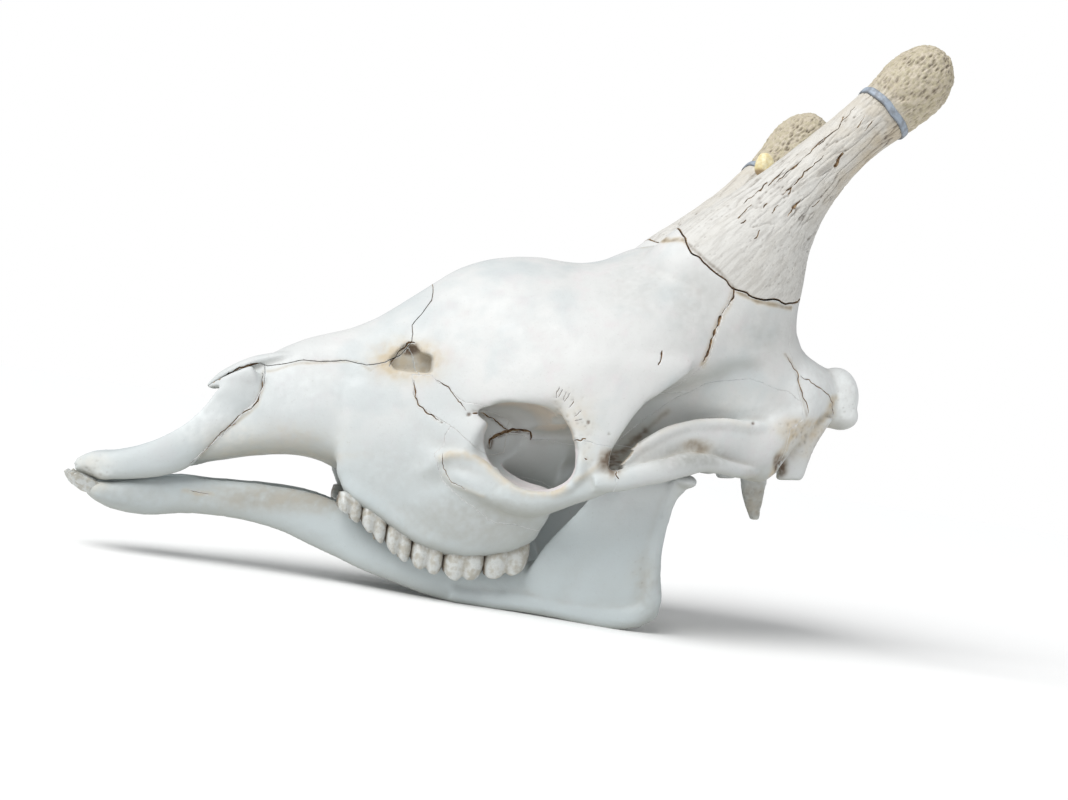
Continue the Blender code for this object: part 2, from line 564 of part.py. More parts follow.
def region(outline, low, high, grow, lift=0.0):
    """The space inside a side outline from y = low to high, grown all round.

    With a lift, it rises towards the middle plane by that much."""
    ring = offset(outline, grow)
    rings = []
    for y in np.linspace(low - grow, high + grow, 13 if lift else 2):
        rise = lift * max(0.0, 1 - abs(y) / LIFT_HALF_WIDTH) ** LIFT_POWER
        rings.append([(x, y, z + rise) for x, z in ring])
    return skinned(rings)


def keep_largest(obj):
    """Keeps only the largest closed surface of the object's mesh."""
    mesh = bmesh.new()
    mesh.from_mesh(obj.data)
    left = set(mesh.faces)
    shells = []
    while left:
        shell = {left.pop()}
        waiting = list(shell)
        while waiting:
            for edge in waiting.pop().edges:
                for other in edge.link_faces:
                    if other in left:
                        left.remove(other)
                        shell.add(other)
                        waiting.append(other)
        shells.append(shell)
    shells.sort(key=len)
    for shell in shells[:-1]:
        bmesh.ops.delete(mesh, geom=list(shell), context="FACES")
    mesh.to_mesh(obj.data)
    mesh.free()


def copy_of(obj, name):
    """A copy of the object with its own mesh."""
    twin = bpy.data.objects.new(name, obj.data.copy())
    bpy.context.scene.collection.objects.link(twin)
    return twin


def carve(whole, name, outline, inner=None, lift=0.0, colour=BONE):
    """Parts a bone from the whole by its side outline, with a gap, and returns the new objects.

    With an inner y, the bone is a pair that reaches from there to the sides."""
    if inner is None:
        spans = {"": (-CARVE_REACH, CARVE_REACH)}
    else:
        spans = {"_left": (-CARVE_REACH, -inner), "_right": (inner, CARVE_REACH)}
    bones = []
    for suffix, (low, high) in spans.items():
        bone = copy_of(whole, name + suffix)
        paint(bone, colour, 0.6)
        space = region(outline, low, high, -GAP / 2, lift)
        boolean(bone, [mesh_object("space", [space])], "INTERSECT")
        keep_largest(bone)
        bones.append(bone)
    gone = [region(outline, low, high, GAP / 2, lift) for low, high in spans.values()]
    boolean(whole, [mesh_object("gone", [space]) for space in gone], "DIFFERENCE")
    keep_largest(whole)
    return bones


def thin_out(obj, faces):
    """Reduces the object's mesh to about a number of triangles."""
    modifier = obj.modifiers.new("thin", "DECIMATE")
    modifier.ratio = faces / (2 * len(obj.data.polygons))
    apply_modifiers(obj)


def lobe(x, y, length, half_width, gum, tip, side):
    """One lobe of a cheek tooth, from its root in the bone to its tip."""
    angles = np.arange(LOBE_SIDES) * 2 * math.pi / LOBE_SIDES
    across = np.sign(np.cos(angles)) * np.abs(np.cos(angles)) ** LOBE_SQUARENESS
    along = np.sign(np.sin(angles)) * np.abs(np.sin(angles)) ** LOBE_SQUARENESS
    height = tip - gum
    root = (gum - ROOT_DEPTH * np.sign(height), ROOT_SIZE, 0.0)
    rings = []
    for z, size, lean in [root] + [(gum + height * down, size, lean) for down, size, lean in LOBE_RINGS]:
        rings.append(np.column_stack([x + along * length / 2 * size,
                                      y + side * lean * half_width + across * half_width * size,
                                      np.full(LOBE_SIDES, z)]))
    return skinned(rings)


def tooth_row(teeth, row_y, gums, tips, half_width, side):
    """The cheek teeth of one side as closed solids, each lobe a column with one cusp."""
    solids = []
    for x, length, lobes in teeth:
        for i in range(lobes):
            pitch = length / lobes
            lobe_x = x + (i - (lobes - 1) / 2) * pitch
            y = side * abs(np.interp(lobe_x, *zip(*row_y)))
            solids.append(lobe(lobe_x, y, pitch * LOBE_LENGTH, half_width, np.interp(lobe_x, *zip(*gums)),
                               np.interp(lobe_x, *zip(*tips)), side))
    return solids


def incisors(side):
    """The fan of front teeth on one half of the lower jaw."""
    solids = []
    for i in range(INCISORS_A_SIDE):
        place = INCISOR_FIRST_Y + INCISOR_PITCH * i
        back = INCISOR_STEP_BACK * i
        stations = [(x + back * share, side * place * spread, z, half_width, half_depth)
                    for x, spread, z, half_width, half_depth, share in INCISOR]
        solids.append(bar(stations, sides=8, steps=1))
    return solids


def band(horn, side, middle, grow, name):
    """A flat ring round a horn, lying partly in it, or the groove for it when it is grown."""
    bpy.context.view_layer.update()
    surface = BVHTree.FromObject(horn, bpy.context.evaluated_depsgraph_get())
    ahead = Vector((BAND_AXIS.x, side * BAND_AXIS.y, BAND_AXIS.z)).normalized()
    across = (Vector((0, 1, 0)) - ahead.y * ahead).normalized()
    up = ahead.cross(across)
    half = BAND_WIDTH / 2 + grow
    floor = -BAND_DEPTH - grow
    top = GROOVE_TOP if grow else BAND_THICKNESS - BAND_DEPTH
    rings = []
    for turn in np.arange(BAND_SIDES) * 2 * math.pi / BAND_SIDES:
        out = across * math.cos(turn) + up * math.sin(turn)
        radius = surface.ray_cast(middle * MM, out)[3] / MM
        rings.append([middle + out * (radius + rise) + ahead * along
                      for rise, along in ((floor, -half), (top, -half), (top, half), (floor, half))])
    return mesh_object(name, [skinned(rings, closed=True)], WIRE, 0.4)


def build_whole_skull():
    """The upper skull with its horns, as one closed skin."""
    masses = [block(FACE), block(CROWN), block(BRAINCASE), bar(SKULL_BASE)]
    for mass in (block(CHEEK), block(EAR_REGION), bar(MALAR), bar(ALVEOLUS), bar(LACRIMAL_SWELL),
                 plate(EYE_BAR)):
        masses += both(mass)
    masses += [plate(HORN, sides=32), mirrored(plate(shorter(HORN), sides=32))]
    skull = mesh_object("skull", masses)
    fuse(skull, MASS_BLUR)
    hollows = [block(NOSE), bar(MARROW_HOLE)]
    hollows += both(orbit_socket()) + both(bar(TEMPORAL_PASSAGE))
    hollows += both(region(FISSURE_OUTLINE, -FISSURE_REACH, -FISSURE_FLOOR, 0))
    boolean(skull, [mesh_object("hollow", [hollow]) for hollow in hollows], "DIFFERENCE")
    details = [bar(EAR_HOOK), mirrored(bar(BROKEN_HOOK))]
    for detail in (orbit_rim(), bar(PREMAXILLA), bar(NOSE_EDGE), bar(PALATE_PROCESS), bar(NASAL),
                   bar(JUGAL_RIDGE), bar(ARCH_ROLL), bar(ARCH_PLATE), bar(ARCH_CREST),
                   plate(PAROCCIPITAL, power=3), bar(PTERYGOID), ball(CONDYLE, CONDYLE_RADII),
                   ball(CONDYLE_CORNER, CORNER_RADII)):
        details += both(detail)
    add_to(skull, details)
    fuse(skull, DETAIL_BLUR)
    keep_largest(skull)
    thin_out(skull, SKULL_FACES)
    return skull


def shorter(stations):
    """The horn's stations with its tip brought back, for the right side."""
    rows = [list(row) for row in stations]
    for row in rows:
        part = min(1.0, max(0.0, (row[2] - HORN_SHORTENS_FROM) / (HORN_TIP - HORN_SHORTENS_FROM)))
        for i in range(3):
            row[i] -= part * FAR_HORN_SHORTER[i]
            row[i + 3] -= part * FAR_HORN_SHORTER[i]
    return rows


def build_upper_bones():
    """Parts the skull into its bones and sets the upper teeth."""
    skull = build_whole_skull()
    horns = carve(skull, "ossicone", HORN_SUTURE, inner=0, lift=HORN_SUTURE_LIFT, colour=HORN_BONE)
    carve(skull, "nasal", NASAL_OUTLINE, inner=0)
    carve(skull, "premaxilla", PREMAXILLA_OUTLINE, inner=0)
    carve(skull, "occipital", OCCIPITAL_OUTLINE)
    carve(skull, "lacrimal", LACRIMAL_OUTLINE, inner=LACRIMAL_INNER)
    carve(skull, "zygomatic", ZYGOMATIC_OUTLINE, inner=ZYGOMATIC_INNER)
    carve(skull, "temporal", TEMPORAL_OUTLINE, inner=TEMPORAL_INNER)
    maxillae = carve(skull, "maxilla", MAXILLA_OUTLINE, inner=0)
    carve(skull, "frontal", FRONTAL_OUTLINE)
    carve(skull, "parietal", PARIETAL_OUTLINE)
    skull.name = "skull_base"
    paint(skull, BONE, 0.6)
    for side, maxilla in zip((-1, 1), maxillae):
        row = tooth_row(UPPER_TEETH, UPPER_ROW_Y, UPPER_GUM, UPPER_TIPS, TOOTH_HALF_WIDTH, side)
        boolean(maxilla, [mesh_object("tooth", [solid]) for solid in row], "UNION")
        keep_largest(maxilla)
    build_bands(horns)


def build_bands(horns):
    """Lays a band in a groove round each horn, and a lump of resin on the right one."""
    for horn, name in zip(horns, BANDS):
        side = -1 if name == "left" else 1
        strap = band(horn, side, BANDS[name], 0, "band_" + name)
        boolean(horn, [band(horn, side, BANDS[name], GAP, "groove")], "DIFFERENCE")
        keep_largest(horn)
    lump = mesh_object("band_lump", [ball(LUMP, LUMP_RADII, rows=8, sides=14)], RESIN, 0.5)
    under = []
    for way in ((0, -1, 0), (-1, 0, 0), (1, 0, 0), (0, 0, 1), (0, 0, -1)):
        for other in (horn, strap):
            twin = copy_of(other, "under")
            twin.data.transform(Matrix.Translation(Vector(way) * GAP * MM))
            under.append(twin)
    boolean(lump, under, "DIFFERENCE")
    keep_largest(lump)


def build_lower_jaw():
    """Both halves of the lower jaw, with their flats, parted at the chin."""
    forms = [bar(JAW_BODY), plate(RAMUS), bar(JAW_BORDER), bar(CORONOID),
             ball(JAW_JOINT, JAW_JOINT_RADII)]
    jaw = mesh_object("jaw", [solid for form in forms for solid in both(form)])
    fuse(jaw, JAW_BLUR)
    keep_largest(jaw)
    thin_out(jaw, JAW_FACES)
    below = region(GROUND_OUTLINE, -CARVE_REACH, CARVE_REACH, 0)
    boolean(jaw, [mesh_object("below", [below])], "DIFFERENCE")
    halves = carve(jaw, "mandible", JAW_OUTLINE, inner=0)
    bpy.data.objects.remove(jaw)
    for side, half in zip((-1, 1), halves):
        row = tooth_row(LOWER_TEETH, LOWER_ROW_Y, LOWER_GUM, LOWER_TIPS, LOWER_TOOTH_HALF_WIDTH, side)
        boolean(half, [mesh_object("tooth", [solid]) for solid in row + incisors(side)], "UNION")
        keep_largest(half)


def main():
    """Clears the scene and builds the skull."""
    for obj in list(bpy.data.objects):
        bpy.data.objects.remove(obj)
    build_upper_bones()
    build_lower_jaw()
    for obj in bpy.data.objects:
        obj.data.transform(Matrix.Translation(Vector((-BOX_MIDDLE, 0, 0)) * MM))


if __name__ == "__main__":
    main()
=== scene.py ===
"""A life-size giraffe skull with its lower jaw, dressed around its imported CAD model.

Sizes are in millimetres and are scaled once, when a mesh is made. X runs from the muzzle (-) to the
back of the head (+), Y to the animal's right side, and Z up from the surface that it rests on.
"""

import logging
import math
from dataclasses import dataclass, field, fields
from enum import Enum
from typing import Sequence

import bmesh
import bpy
import numpy as np
from bpy.types import Material, NodeSocket, Object
from mathutils import Matrix, Vector
from mathutils.bvhtree import BVHTree


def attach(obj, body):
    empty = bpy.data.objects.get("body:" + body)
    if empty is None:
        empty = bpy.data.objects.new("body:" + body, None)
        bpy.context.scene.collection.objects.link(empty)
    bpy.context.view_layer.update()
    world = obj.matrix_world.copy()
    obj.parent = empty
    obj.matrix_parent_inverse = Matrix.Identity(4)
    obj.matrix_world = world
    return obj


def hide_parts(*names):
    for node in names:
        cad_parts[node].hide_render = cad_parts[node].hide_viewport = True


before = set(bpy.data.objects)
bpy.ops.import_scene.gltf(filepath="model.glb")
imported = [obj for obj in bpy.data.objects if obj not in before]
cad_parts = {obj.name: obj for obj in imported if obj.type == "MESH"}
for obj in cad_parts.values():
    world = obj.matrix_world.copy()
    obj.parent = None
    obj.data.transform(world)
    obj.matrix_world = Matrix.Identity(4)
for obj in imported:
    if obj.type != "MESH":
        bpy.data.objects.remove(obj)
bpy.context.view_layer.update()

LOG = logging.getLogger("giraffe_skull")
MM = 0.001
ROOT = "root"
# From the middle of the drawing, where x is 0, to the origin at the middle of the skull's box.
ORIGIN_SHIFT = Vector((5.0, 0, 0))
ACROSS = np.array([0.0, 1.0, 0.0])
# Half width of a space that holds the whole skull.
BEYOND = 160.0
Points = np.ndarray
Solid = tuple[np.ndarray, list[tuple[int, ...]]]
Row = tuple[float, ...]


class Side(Enum):
    """A side of the animal, with the sign of y there."""
    LEFT = -1
    RIGHT = 1

    @property
    def word(self) -> str:
        """The side's name in a piece's name."""
        return self.name.lower()

    @property
    def flip(self) -> Points:
        """Factors on x, y and z that turn this side into the left one."""
        return np.array([1, -self.value, 1])


class Cut(Enum):
    """How one solid meets others."""
    AWAY = "DIFFERENCE"
    COMMON = "INTERSECT"


class Seam(Enum):
    """What shows in the gap between two bones, as the material slot of its walls."""
    PALE = 1
    DARK = 2


# Blocks are rings across the head: x, middle y, lowest z, z where widest, highest z, half width,
# and how square the ring is above and below its widest level (2 is an ellipse).
FACE = [
    (-246, 0, 79, 92, 108, 24, 2, 2.4), (-236, 0, 82, 103, 140, 28, 2, 2.4),
    (-222, 0, 86, 110, 160, 31, 2, 2.6), (-200, 0, 93, 118, 179, 34, 2, 2.6),
    (-170, 0, 99, 125, 199, 36, 1.9, 2.6), (-142, 0, 98, 132, 210.5, 39, 1.9, 2.6),
    (-119, 0, 90, 138, 223.5, 44, 1.8, 2.4), (-96, 0, 86, 145, 242, 52, 1.7, 2.2),
    (-73, 0, 86, 150, 262, 62, 1.7, 2), (-50, 0, 88, 155, 282, 72, 1.7, 2),
    (-25, 0, 92, 160, 293, 78, 1.7, 2), (0, 0, 96, 165, 298, 62, 1.7, 2), (30, 0, 98, 170, 300, 48, 1.7, 2),
    (60, 0, 100, 170, 300, 46, 1.7, 2),
]
CROWN = [
    (-70, 0, 150, 165, 262, 50, 1.7, 2), (-40, 0, 146, 166, 287, 76, 1.7, 2),
    (-10, 0, 146, 173, 299, 96, 1.65, 2), (20, 0, 150, 181, 304, 107, 1.65, 2),
    (50, 0, 154, 186, 305, 115, 1.7, 2), (75, 0, 168, 196, 312, 115, 1.75, 2),
    (100, 0, 180, 210, 327, 111, 1.8, 2), (125, 0, 190, 224, 335, 106, 1.9, 2),
    (150, 0, 194, 236, 335, 100, 2, 2), (172, 0, 200, 244, 330, 92, 2.2, 2),
    (200, 0, 206, 248, 320, 84, 2.3, 2), (228, 0, 206, 244, 306, 76, 2.3, 2),
    (247, 0, 204, 238, 285, 66, 2.3, 2), (262, 0, 202, 230, 260, 52, 2.2, 2),
]
BRAINCASE = [
    (40, 0, 116, 190, 290, 48, 2, 2), (70, 0, 124, 198, 295, 60, 2, 2), (100, 0, 130, 206, 300, 72, 2, 2),
    (130, 0, 134, 212, 300, 79, 2, 2), (165, 0, 138, 216, 300, 82, 2, 1.9),
    (195, 0, 142, 218, 300, 82, 2, 1.9), (220, 0, 150, 218, 293, 79, 2, 1.9),
    (240, 0, 158, 218, 283, 74, 2, 2), (256, 0, 170, 218, 270, 71, 2.2, 2),
    (268, 0, 180, 219, 261, 66, 2.3, 2), (282, 0, 188, 220, 256, 57, 2.3, 2),
    (298, 0, 196, 221, 252, 43, 2.3, 2), (310, 0, 206, 223, 251, 30, 2.2, 2),
]
CHEEK = [
    (-130, -38, 90, 112, 168, 6, 2, 2.4), (-120, -40, 80, 106, 170, 9, 2, 2.4),
    (-102, -43, 69, 98, 170, 13, 2, 2.4), (-71, -48, 54, 95, 172, 18, 2, 2),
    (-44, -54, 40, 94, 168, 22, 2, 1.8), (-19, -59, 38, 94, 150, 23, 2, 1.8),
    (5, -62, 43, 94, 122, 24, 2, 1.7), (24, -64, 50, 94, 110, 24, 2, 1.7),
    (37, -66, 62, 94, 108, 23, 2, 1.7), (46, -70, 82, 95, 108, 20, 2, 1.8),
]
EAR_REGION = [
    (176, -66, 150, 166, 183, 8, 2, 2.2), (196, -66, 143, 166, 195, 12, 2, 2.3),
    (214, -64, 139, 168, 205, 15, 2, 2.4), (232, -62, 140, 172, 215, 18, 2, 2.5),
    (246, -58, 158, 186, 222, 19, 2, 2.3), (260, -54, 177, 200, 228, 18, 2, 2.2),
    (276, -48, 190, 208, 232, 13, 2, 2),
]
# Bars are swept along a path: x, y, z, half width across the head, half depth.
PREMAXILLA = [
    (-334, -8, 64.5, 5, 5.5), (-322, -13, 67.6, 7, 10.4), (-305, -17, 69.6, 8, 12),
    (-288, -20, 74.3, 8, 13.2), (-272, -23, 80.5, 8, 15), (-256, -25, 90, 7, 16),
    (-243, -28, 105, 5.5, 13.5), (-232, -30, 120, 4.5, 13.5), (-222, -30.5, 135, 4, 15),
    (-213, -29, 149.5, 3.5, 14), (-205, -25.5, 163, 3, 10),
]
NOSE_EDGE = [
    (-206, -28, 161, 4, 8), (-217, -29, 156, 4, 7), (-228, -27, 151, 4, 5), (-237, -23, 147, 3, 3),
    (-241, -20, 144.5, 2.5, 2),
]
PALATE_PROCESS = [(-324, -4, 64, 3, 3), (-290, -5, 69, 3.5, 3), (-250, -6, 80, 4, 4), (-225, -6, 92, 5, 5)]
NASAL = [
    (-243, -6, 145, 4, 2), (-231, -8, 156, 8, 4.5), (-212, -10, 169, 10, 5.5), (-192, -10, 178, 10, 4.5),
    (-172, -10, 184, 8, 3),
]
MALAR = [
    (-70, -52, 122, 12, 14), (-45, -66, 114, 13, 14), (-12, -82, 102, 13, 14), (24, -95, 95, 12, 13),
    (52, -106, 106, 10, 11), (78, -115, 119, 8, 10),
]
ALVEOLUS = [
    (-122, -42, 89, 5, 6), (-113, -44, 81, 9, 9), (-100, -47, 74.5, 11, 9), (-84, -50, 67, 11.5, 9),
    (-70, -53, 60, 12, 9), (-52, -56, 52.5, 12, 9), (-30, -59, 49.5, 12, 9), (-8, -61, 50.5, 12, 9),
    (14, -62, 57, 12, 9), (30, -63, 65, 11, 9), (38, -64, 72, 9, 8),
]
LACRIMAL_SWELL = [
    (-92, -38, 164, 10, 10), (-66, -52, 155, 12, 18), (-42, -64, 146, 13, 24), (-20, -73, 138, 14, 26),
]
JUGAL_RIDGE = [
    (-60, -67, 103, 6, 7), (-46, -75, 117, 6, 7), (-30, -80, 120, 6, 7), (-14, -86, 113, 6, 7),
    (2, -92, 105, 6, 6),
]
ARCH_ROLL = [
    (68, -117, 118, 8, 9), (88, -120, 123, 7, 9), (106, -119, 130, 6.5, 9), (126, -116, 137, 6.5, 9.5),
    (145, -110, 144.5, 7, 10), (160, -104, 148, 7, 8.5), (181, -96, 147, 7, 6.5), (204, -84, 146, 7, 6),
    (222, -68, 150, 6, 6),
]
ARCH_PLATE = [
    (92, -113, 130, 4, 8), (112, -109, 144, 4, 12), (132, -103, 157, 4.5, 15), (155, -97, 166, 5, 17),
    (180, -88, 168, 7, 19), (208, -76, 168, 9, 22), (235, -68, 172, 12, 24),
]
ARCH_CREST = [
    (88, -114, 136, 4, 4), (103, -110, 151, 4.5, 4.5), (125, -105, 167, 4.5, 4.5),
    (149, -99, 177, 4.5, 4.5), (178, -91, 183, 5, 5), (202, -82, 184, 5, 5), (226, -71, 186, 6, 6),
    (246, -60, 193, 7, 7),
]
EAR_HOOK = [
    (235, -36, 156, 7, 15.5), (236, -36, 139, 6.5, 14), (239, -36, 124, 6, 12), (243.5, -36, 107, 4, 7.5),
]
BROKEN_HOOK = [(233, -36, 156, 7, 13), (234, -36, 146, 6.5, 12), (235, -36, 138, 5, 9)]
PTERYGOID = [(40, -22, 88, 3.5, 14), (60, -22, 86, 3, 15), (82, -21, 98, 3, 14), (102, -20, 114, 3, 10)]
SKULL_BASE = [
    (40, 0, 108, 22, 12), (90, 0, 128, 20, 12), (150, 0, 148, 20, 14), (210, 0, 170, 22, 14),
    (262, 0, 186, 24, 12), (292, 0, 198, 22, 9),
]
JAW_BODY = [
    (-322, -14, 49, 7, 5), (-312, -15, 47, 10, 8.5), (-298, -13, 45.7, 11, 12.3),
    (-274, -11, 48.5, 10.5, 15.7), (-251, -11, 53.5, 10, 16), (-227, -13, 55, 8.5, 15),
    (-196, -16, 56, 8, 16), (-165, -18, 54.5, 8, 18.5), (-140, -19, 50, 8.5, 21), (-114, -21, 42, 9, 21),
    (-88, -26, 33, 10, 20), (-62, -31, 26, 10, 19), (-37, -36, 21, 10, 19), (-12, -40, 18, 10, 19),
    (14, -43, 18, 9.5, 18), (38, -48, 21, 8.5, 20), (58, -56, 27, 8, 23), (74, -62, 34, 7, 24),
]
JAW_BORDER = [
    (-20, -44, 8, 7, 8), (10, -47, 8, 7, 9), (39, -53, 9, 7, 9), (70, -61, 9, 7, 9), (92, -67, 8, 7, 9.5),
    (114, -73, 8, 7, 10), (134, -77, 14, 7, 9), (144, -79, 28, 6, 8), (141, -79, 48, 5, 7),
    (139, -80, 70, 5, 7), (140, -82, 95, 5, 7), (143, -85, 115, 5, 7), (148, -88, 126, 6, 8),
]
CORONOID = [
    (106, -79, 112, 4.5, 18), (112, -79, 130, 4, 13), (121, -77, 148, 3.5, 9), (129, -75, 161, 3, 5),
]
# Plates are swept from one edge to another: x, y, z of the front edge, the same of the back edge,
# and half thickness.
EYE_BAR = [
    (50, -84, 244, 150, -88, 246, 9), (49, -104, 220, 140, -106, 222, 9),
    (41, -106, 202, 122, -111, 203, 8.5), (34, -105, 187, 103, -115, 187, 8),
    (34, -105, 171, 91, -118, 168, 7.5), (40, -106, 156, 84, -120, 154, 7),
    (46, -108, 141, 79, -120, 140, 7), (48, -108, 126, 82, -120, 126, 7), (46, -108, 112, 88, -118, 113, 6),
]
PAROCCIPITAL = [
    (268, -46, 204, 296, -42, 206, 7), (262, -53, 193, 287, -48, 195, 7),
    (254, -56, 180, 279, -51, 180, 6.5), (248, -57, 164, 274, -53, 164, 6),
    (246, -56, 152, 272, -53, 152, 5.5), (247, -55, 144, 270, -53, 147, 5),
]
HORN = [
    (94, -46, 286, 250, -44, 252, 44), (102, -46, 318, 244, -46, 284, 46),
    (126, -47, 347, 244, -48, 311, 45), (148, -50, 366, 243.5, -50, 331, 41),
    (171, -53, 387, 245, -53, 353, 36), (195, -57, 411, 251, -57, 377, 31),
    (217, -62, 435, 261.5, -63, 402.5, 27), (235, -69, 456, 276, -70, 427, 24.5),
    (248, -76, 472, 295.5, -78, 448, 24), (260, -82, 488, 315, -84, 467, 27),
    (270, -86, 504, 329, -88, 485, 31), (281, -88, 520, 334, -90, 503, 31),
    (295, -88, 531, 330.5, -90, 518, 26), (306, -88, 535, 319.5, -89, 528, 15),
]
RAMUS = [
    (62, -61, 1, 138, -75, 3, 5), (46, -57, 14, 152, -77, 14, 6), (38, -57, 30, 153, -78, 30, 6.5),
    (43, -62, 48, 149, -79, 50, 6), (53, -66, 67, 146, -80, 68, 6), (68, -71, 89, 147, -82, 90, 6),
    (81, -75, 110, 149, -84, 110, 6), (90, -77, 122, 150, -86, 122, 5.5), (102, -78, 132, 142, -85, 129, 5),
]
# Middle outline (x, z) of the left eye socket's opening, and the rim's thickness at each corner.
ORBIT_OUTLINE = [
    (52, 137, 4.6), (50, 147, 3.6), (45, 157, 2.2), (38, 165, 1.5), (29, 170, 1.2), (20, 172, 1.2),
    (8, 171, 1.2), (-6, 168, 1.2), (-15, 163, 1.2), (-20, 158, 1), (-17, 153, 1), (-8, 149, 1.2),
    (-9, 143, 1.6), (-10, 137, 1.8), (-7, 126, 2.1), (0, 113, 2.6), (11, 105.5, 3), (22, 103, 3),
    (33, 103.5, 3.2), (44, 108.5, 3.8), (50, 117.5, 4.4), (53, 127, 4.8),
]
# The eye socket inwards: x and z of its middle, y, and its size as a share of the opening's.
ORBIT_DEPTHS = [
    (22, 139, -160, 1), (20, 139, -112, 1), (17, 140, -92, 1), (13, 141, -74, 1.02), (7, 143, -56, 0.82),
    (1, 145, -44, 0.42),
]
# Other hollows, as blocks or bars.
BROW_HOLLOW = [
    (-44, -104, 160, 6, 6), (-30, -103, 160, 13, 9), (-12, -101, 159, 17, 13), (6, -100, 158, 14, 13),
]
TEMPORAL_PASSAGE = [
    (24, -80, 142, 14, 22), (60, -86, 148, 14, 24), (100, -84, 158, 12, 22), (130, -82, 166, 10, 16),
]
NOSE = [
    (-275, 0, 84, 120, 190, 19, 2, 2), (-236, 0, 93, 125, 190, 21, 2, 2), (-232, 0, 93, 118, 146, 22, 2, 2),
    (-200, 0, 104, 130, 158, 24, 2, 2), (-160, 0, 112, 145, 176, 22, 2, 2),
    (-120, 0, 130, 155, 190, 12, 2, 2),
]
MARROW_HOLE = [(335, 0, 219, 17, 17), (300, 0, 221, 17, 17), (262, 0, 226, 16, 16)]
# Middle of the strap on each horn.
HORN_STRAPS: dict[Side, Row] = {Side.LEFT: (279, -82, 473), Side.RIGHT: (239, 76, 425)}
# Side outlines (x, z) of the bones, as in the CAD model.
HORN_SUTURE = [
    (112, 352), (122, 335), (133, 319), (147, 307), (169, 296), (187, 292), (224, 292), (252, 297),
    (420, 330), (420, 620), (100, 620),
]
NASAL_OUTLINE = [
    (-262, 138), (-244, 143), (-238, 149.5), (-227, 158), (-217, 164.5), (-204, 171), (-198, 169),
    (-173, 178), (-136, 184), (-118, 183), (-103, 188), (-92, 196), (-84, 209), (-86, 223), (-78, 237),
    (-72, 246), (-66, 320), (-262, 320),
]
PREMAXILLA_OUTLINE = [
    (-380, 20), (-262, 20), (-245, 80), (-222, 112), (-203, 138), (-198, 152), (-200, 176), (-380, 176),
]
OCCIPITAL_OUTLINE = [
    (228, 310), (233, 256), (243, 239), (246, 222), (255, 200), (243, 188), (243, 100), (380, 100),
    (380, 310),
]
LACRIMAL_OUTLINE = [
    (-81, 182), (-79, 167), (-72, 157), (-61, 152), (-45, 145), (-30, 134), (-10, 124), (6, 130), (6, 158),
    (-18, 162), (-30, 167), (-37, 166), (-47, 172), (-57, 178), (-68, 184),
]
ZYGOMATIC_OUTLINE = [
    (-56, 120), (-47, 101), (-16, 82), (1, 74), (35, 72), (62, 80), (85, 96), (84, 128), (98, 149),
    (48, 149), (20, 146), (-10, 132), (-30, 140), (-45, 150),
]
TEMPORAL_OUTLINE = [
    (82, 80), (82, 128), (96, 150), (108, 168), (130, 192), (160, 214), (200, 224), (238, 220), (262, 210),
    (262, 80),
]
MAXILLA_OUTLINE = [
    (-300, 10), (78, 10), (78, 100), (46, 109), (0, 114), (-42, 150), (-64, 160), (-74, 178), (-80, 192),
    (-88, 206), (-120, 214), (-300, 214),
]
FRONTAL_OUTLINE = [
    (-120, 150), (-84, 166), (-60, 158), (-10, 146), (60, 146), (98, 148), (100, 178), (119, 197),
    (140, 215), (152, 228), (155, 245), (160, 263), (168, 296), (172, 420), (-120, 420),
]
PARIETAL_OUTLINE = [(100, 196), (150, 205), (200, 212), (240, 206), (280, 206), (280, 420), (130, 420)]
FISSURE_OUTLINE = [
    (-101, 190), (-91, 205), (-83, 206), (-77, 201), (-67, 199), (-66, 185), (-81, 184), (-95, 183),
]
# From and to which y the slit before the left eye socket is open.
FISSURE_SPAN = (-90, -36)
JAW_OUTLINE = [(-500, -50), (500, -50), (500, 400), (-500, 400)]
GROUND_OUTLINE = [(-400, -30), (400, -30), (400, 0), (-400, 0)]
# Cheek teeth: middle x, length along the row and number of lobes. Then y of the row, and z of the
# gum and of the tips, at some x.
UPPER_TEETH = [(-114, 20.5, 1), (-92.5, 21.5, 1), (-70.5, 21.5, 1), (-46, 26, 2), (-15.5, 32, 2), (19, 35, 2)]
UPPER_ROW_Y = [(-125, -42), (-60, -52), (-16, -58), (40, -61)]
UPPER_GUM = [
    (-120, 74), (-101, 66), (-88, 59), (-71, 51), (-57, 44), (-44, 41), (-19, 40), (5, 45), (25, 52),
    (40, 60),
]
UPPER_TIPS = [
    (-120, 62), (-103, 52), (-91, 45), (-73, 33), (-56, 26), (-41, 23), (-20, 20), (0, 24), (20, 29),
    (41, 37),
]
LOWER_TEETH = [(-104, 17, 1), (-85, 18, 1), (-65, 19, 1), (-42, 23, 2), (-14, 28, 2), (19, 33, 2)]
LOWER_ROW_Y = [(-110, -27), (-60, -35), (-12, -41), (30, -45)]
LOWER_GUM = [(-110, 62), (-85, 50), (-60, 42), (-35, 37), (0, 34), (36, 42)]
LOWER_TIPS = [(-110, 72), (-85, 60), (-60, 52), (-35, 47), (0, 45), (36, 54)]
UPPER_ROW = (UPPER_TEETH, UPPER_ROW_Y, UPPER_GUM, UPPER_TIPS)
LOWER_ROW = (LOWER_TEETH, LOWER_ROW_Y, LOWER_GUM, LOWER_TIPS)


def placed(name: str, data: bpy.types.ID) -> Object:
    """Puts a new object with its mesh, light or camera into the scene."""
    obj = bpy.data.objects.new(name, data)
    bpy.context.scene.collection.objects.link(obj)
    return obj


def surface_of(obj: Object) -> BVHTree:
    """Gives an object's surface, for rays to meet."""
    bpy.context.view_layer.update()
    return BVHTree.FromObject(obj, bpy.context.evaluated_depsgraph_get())


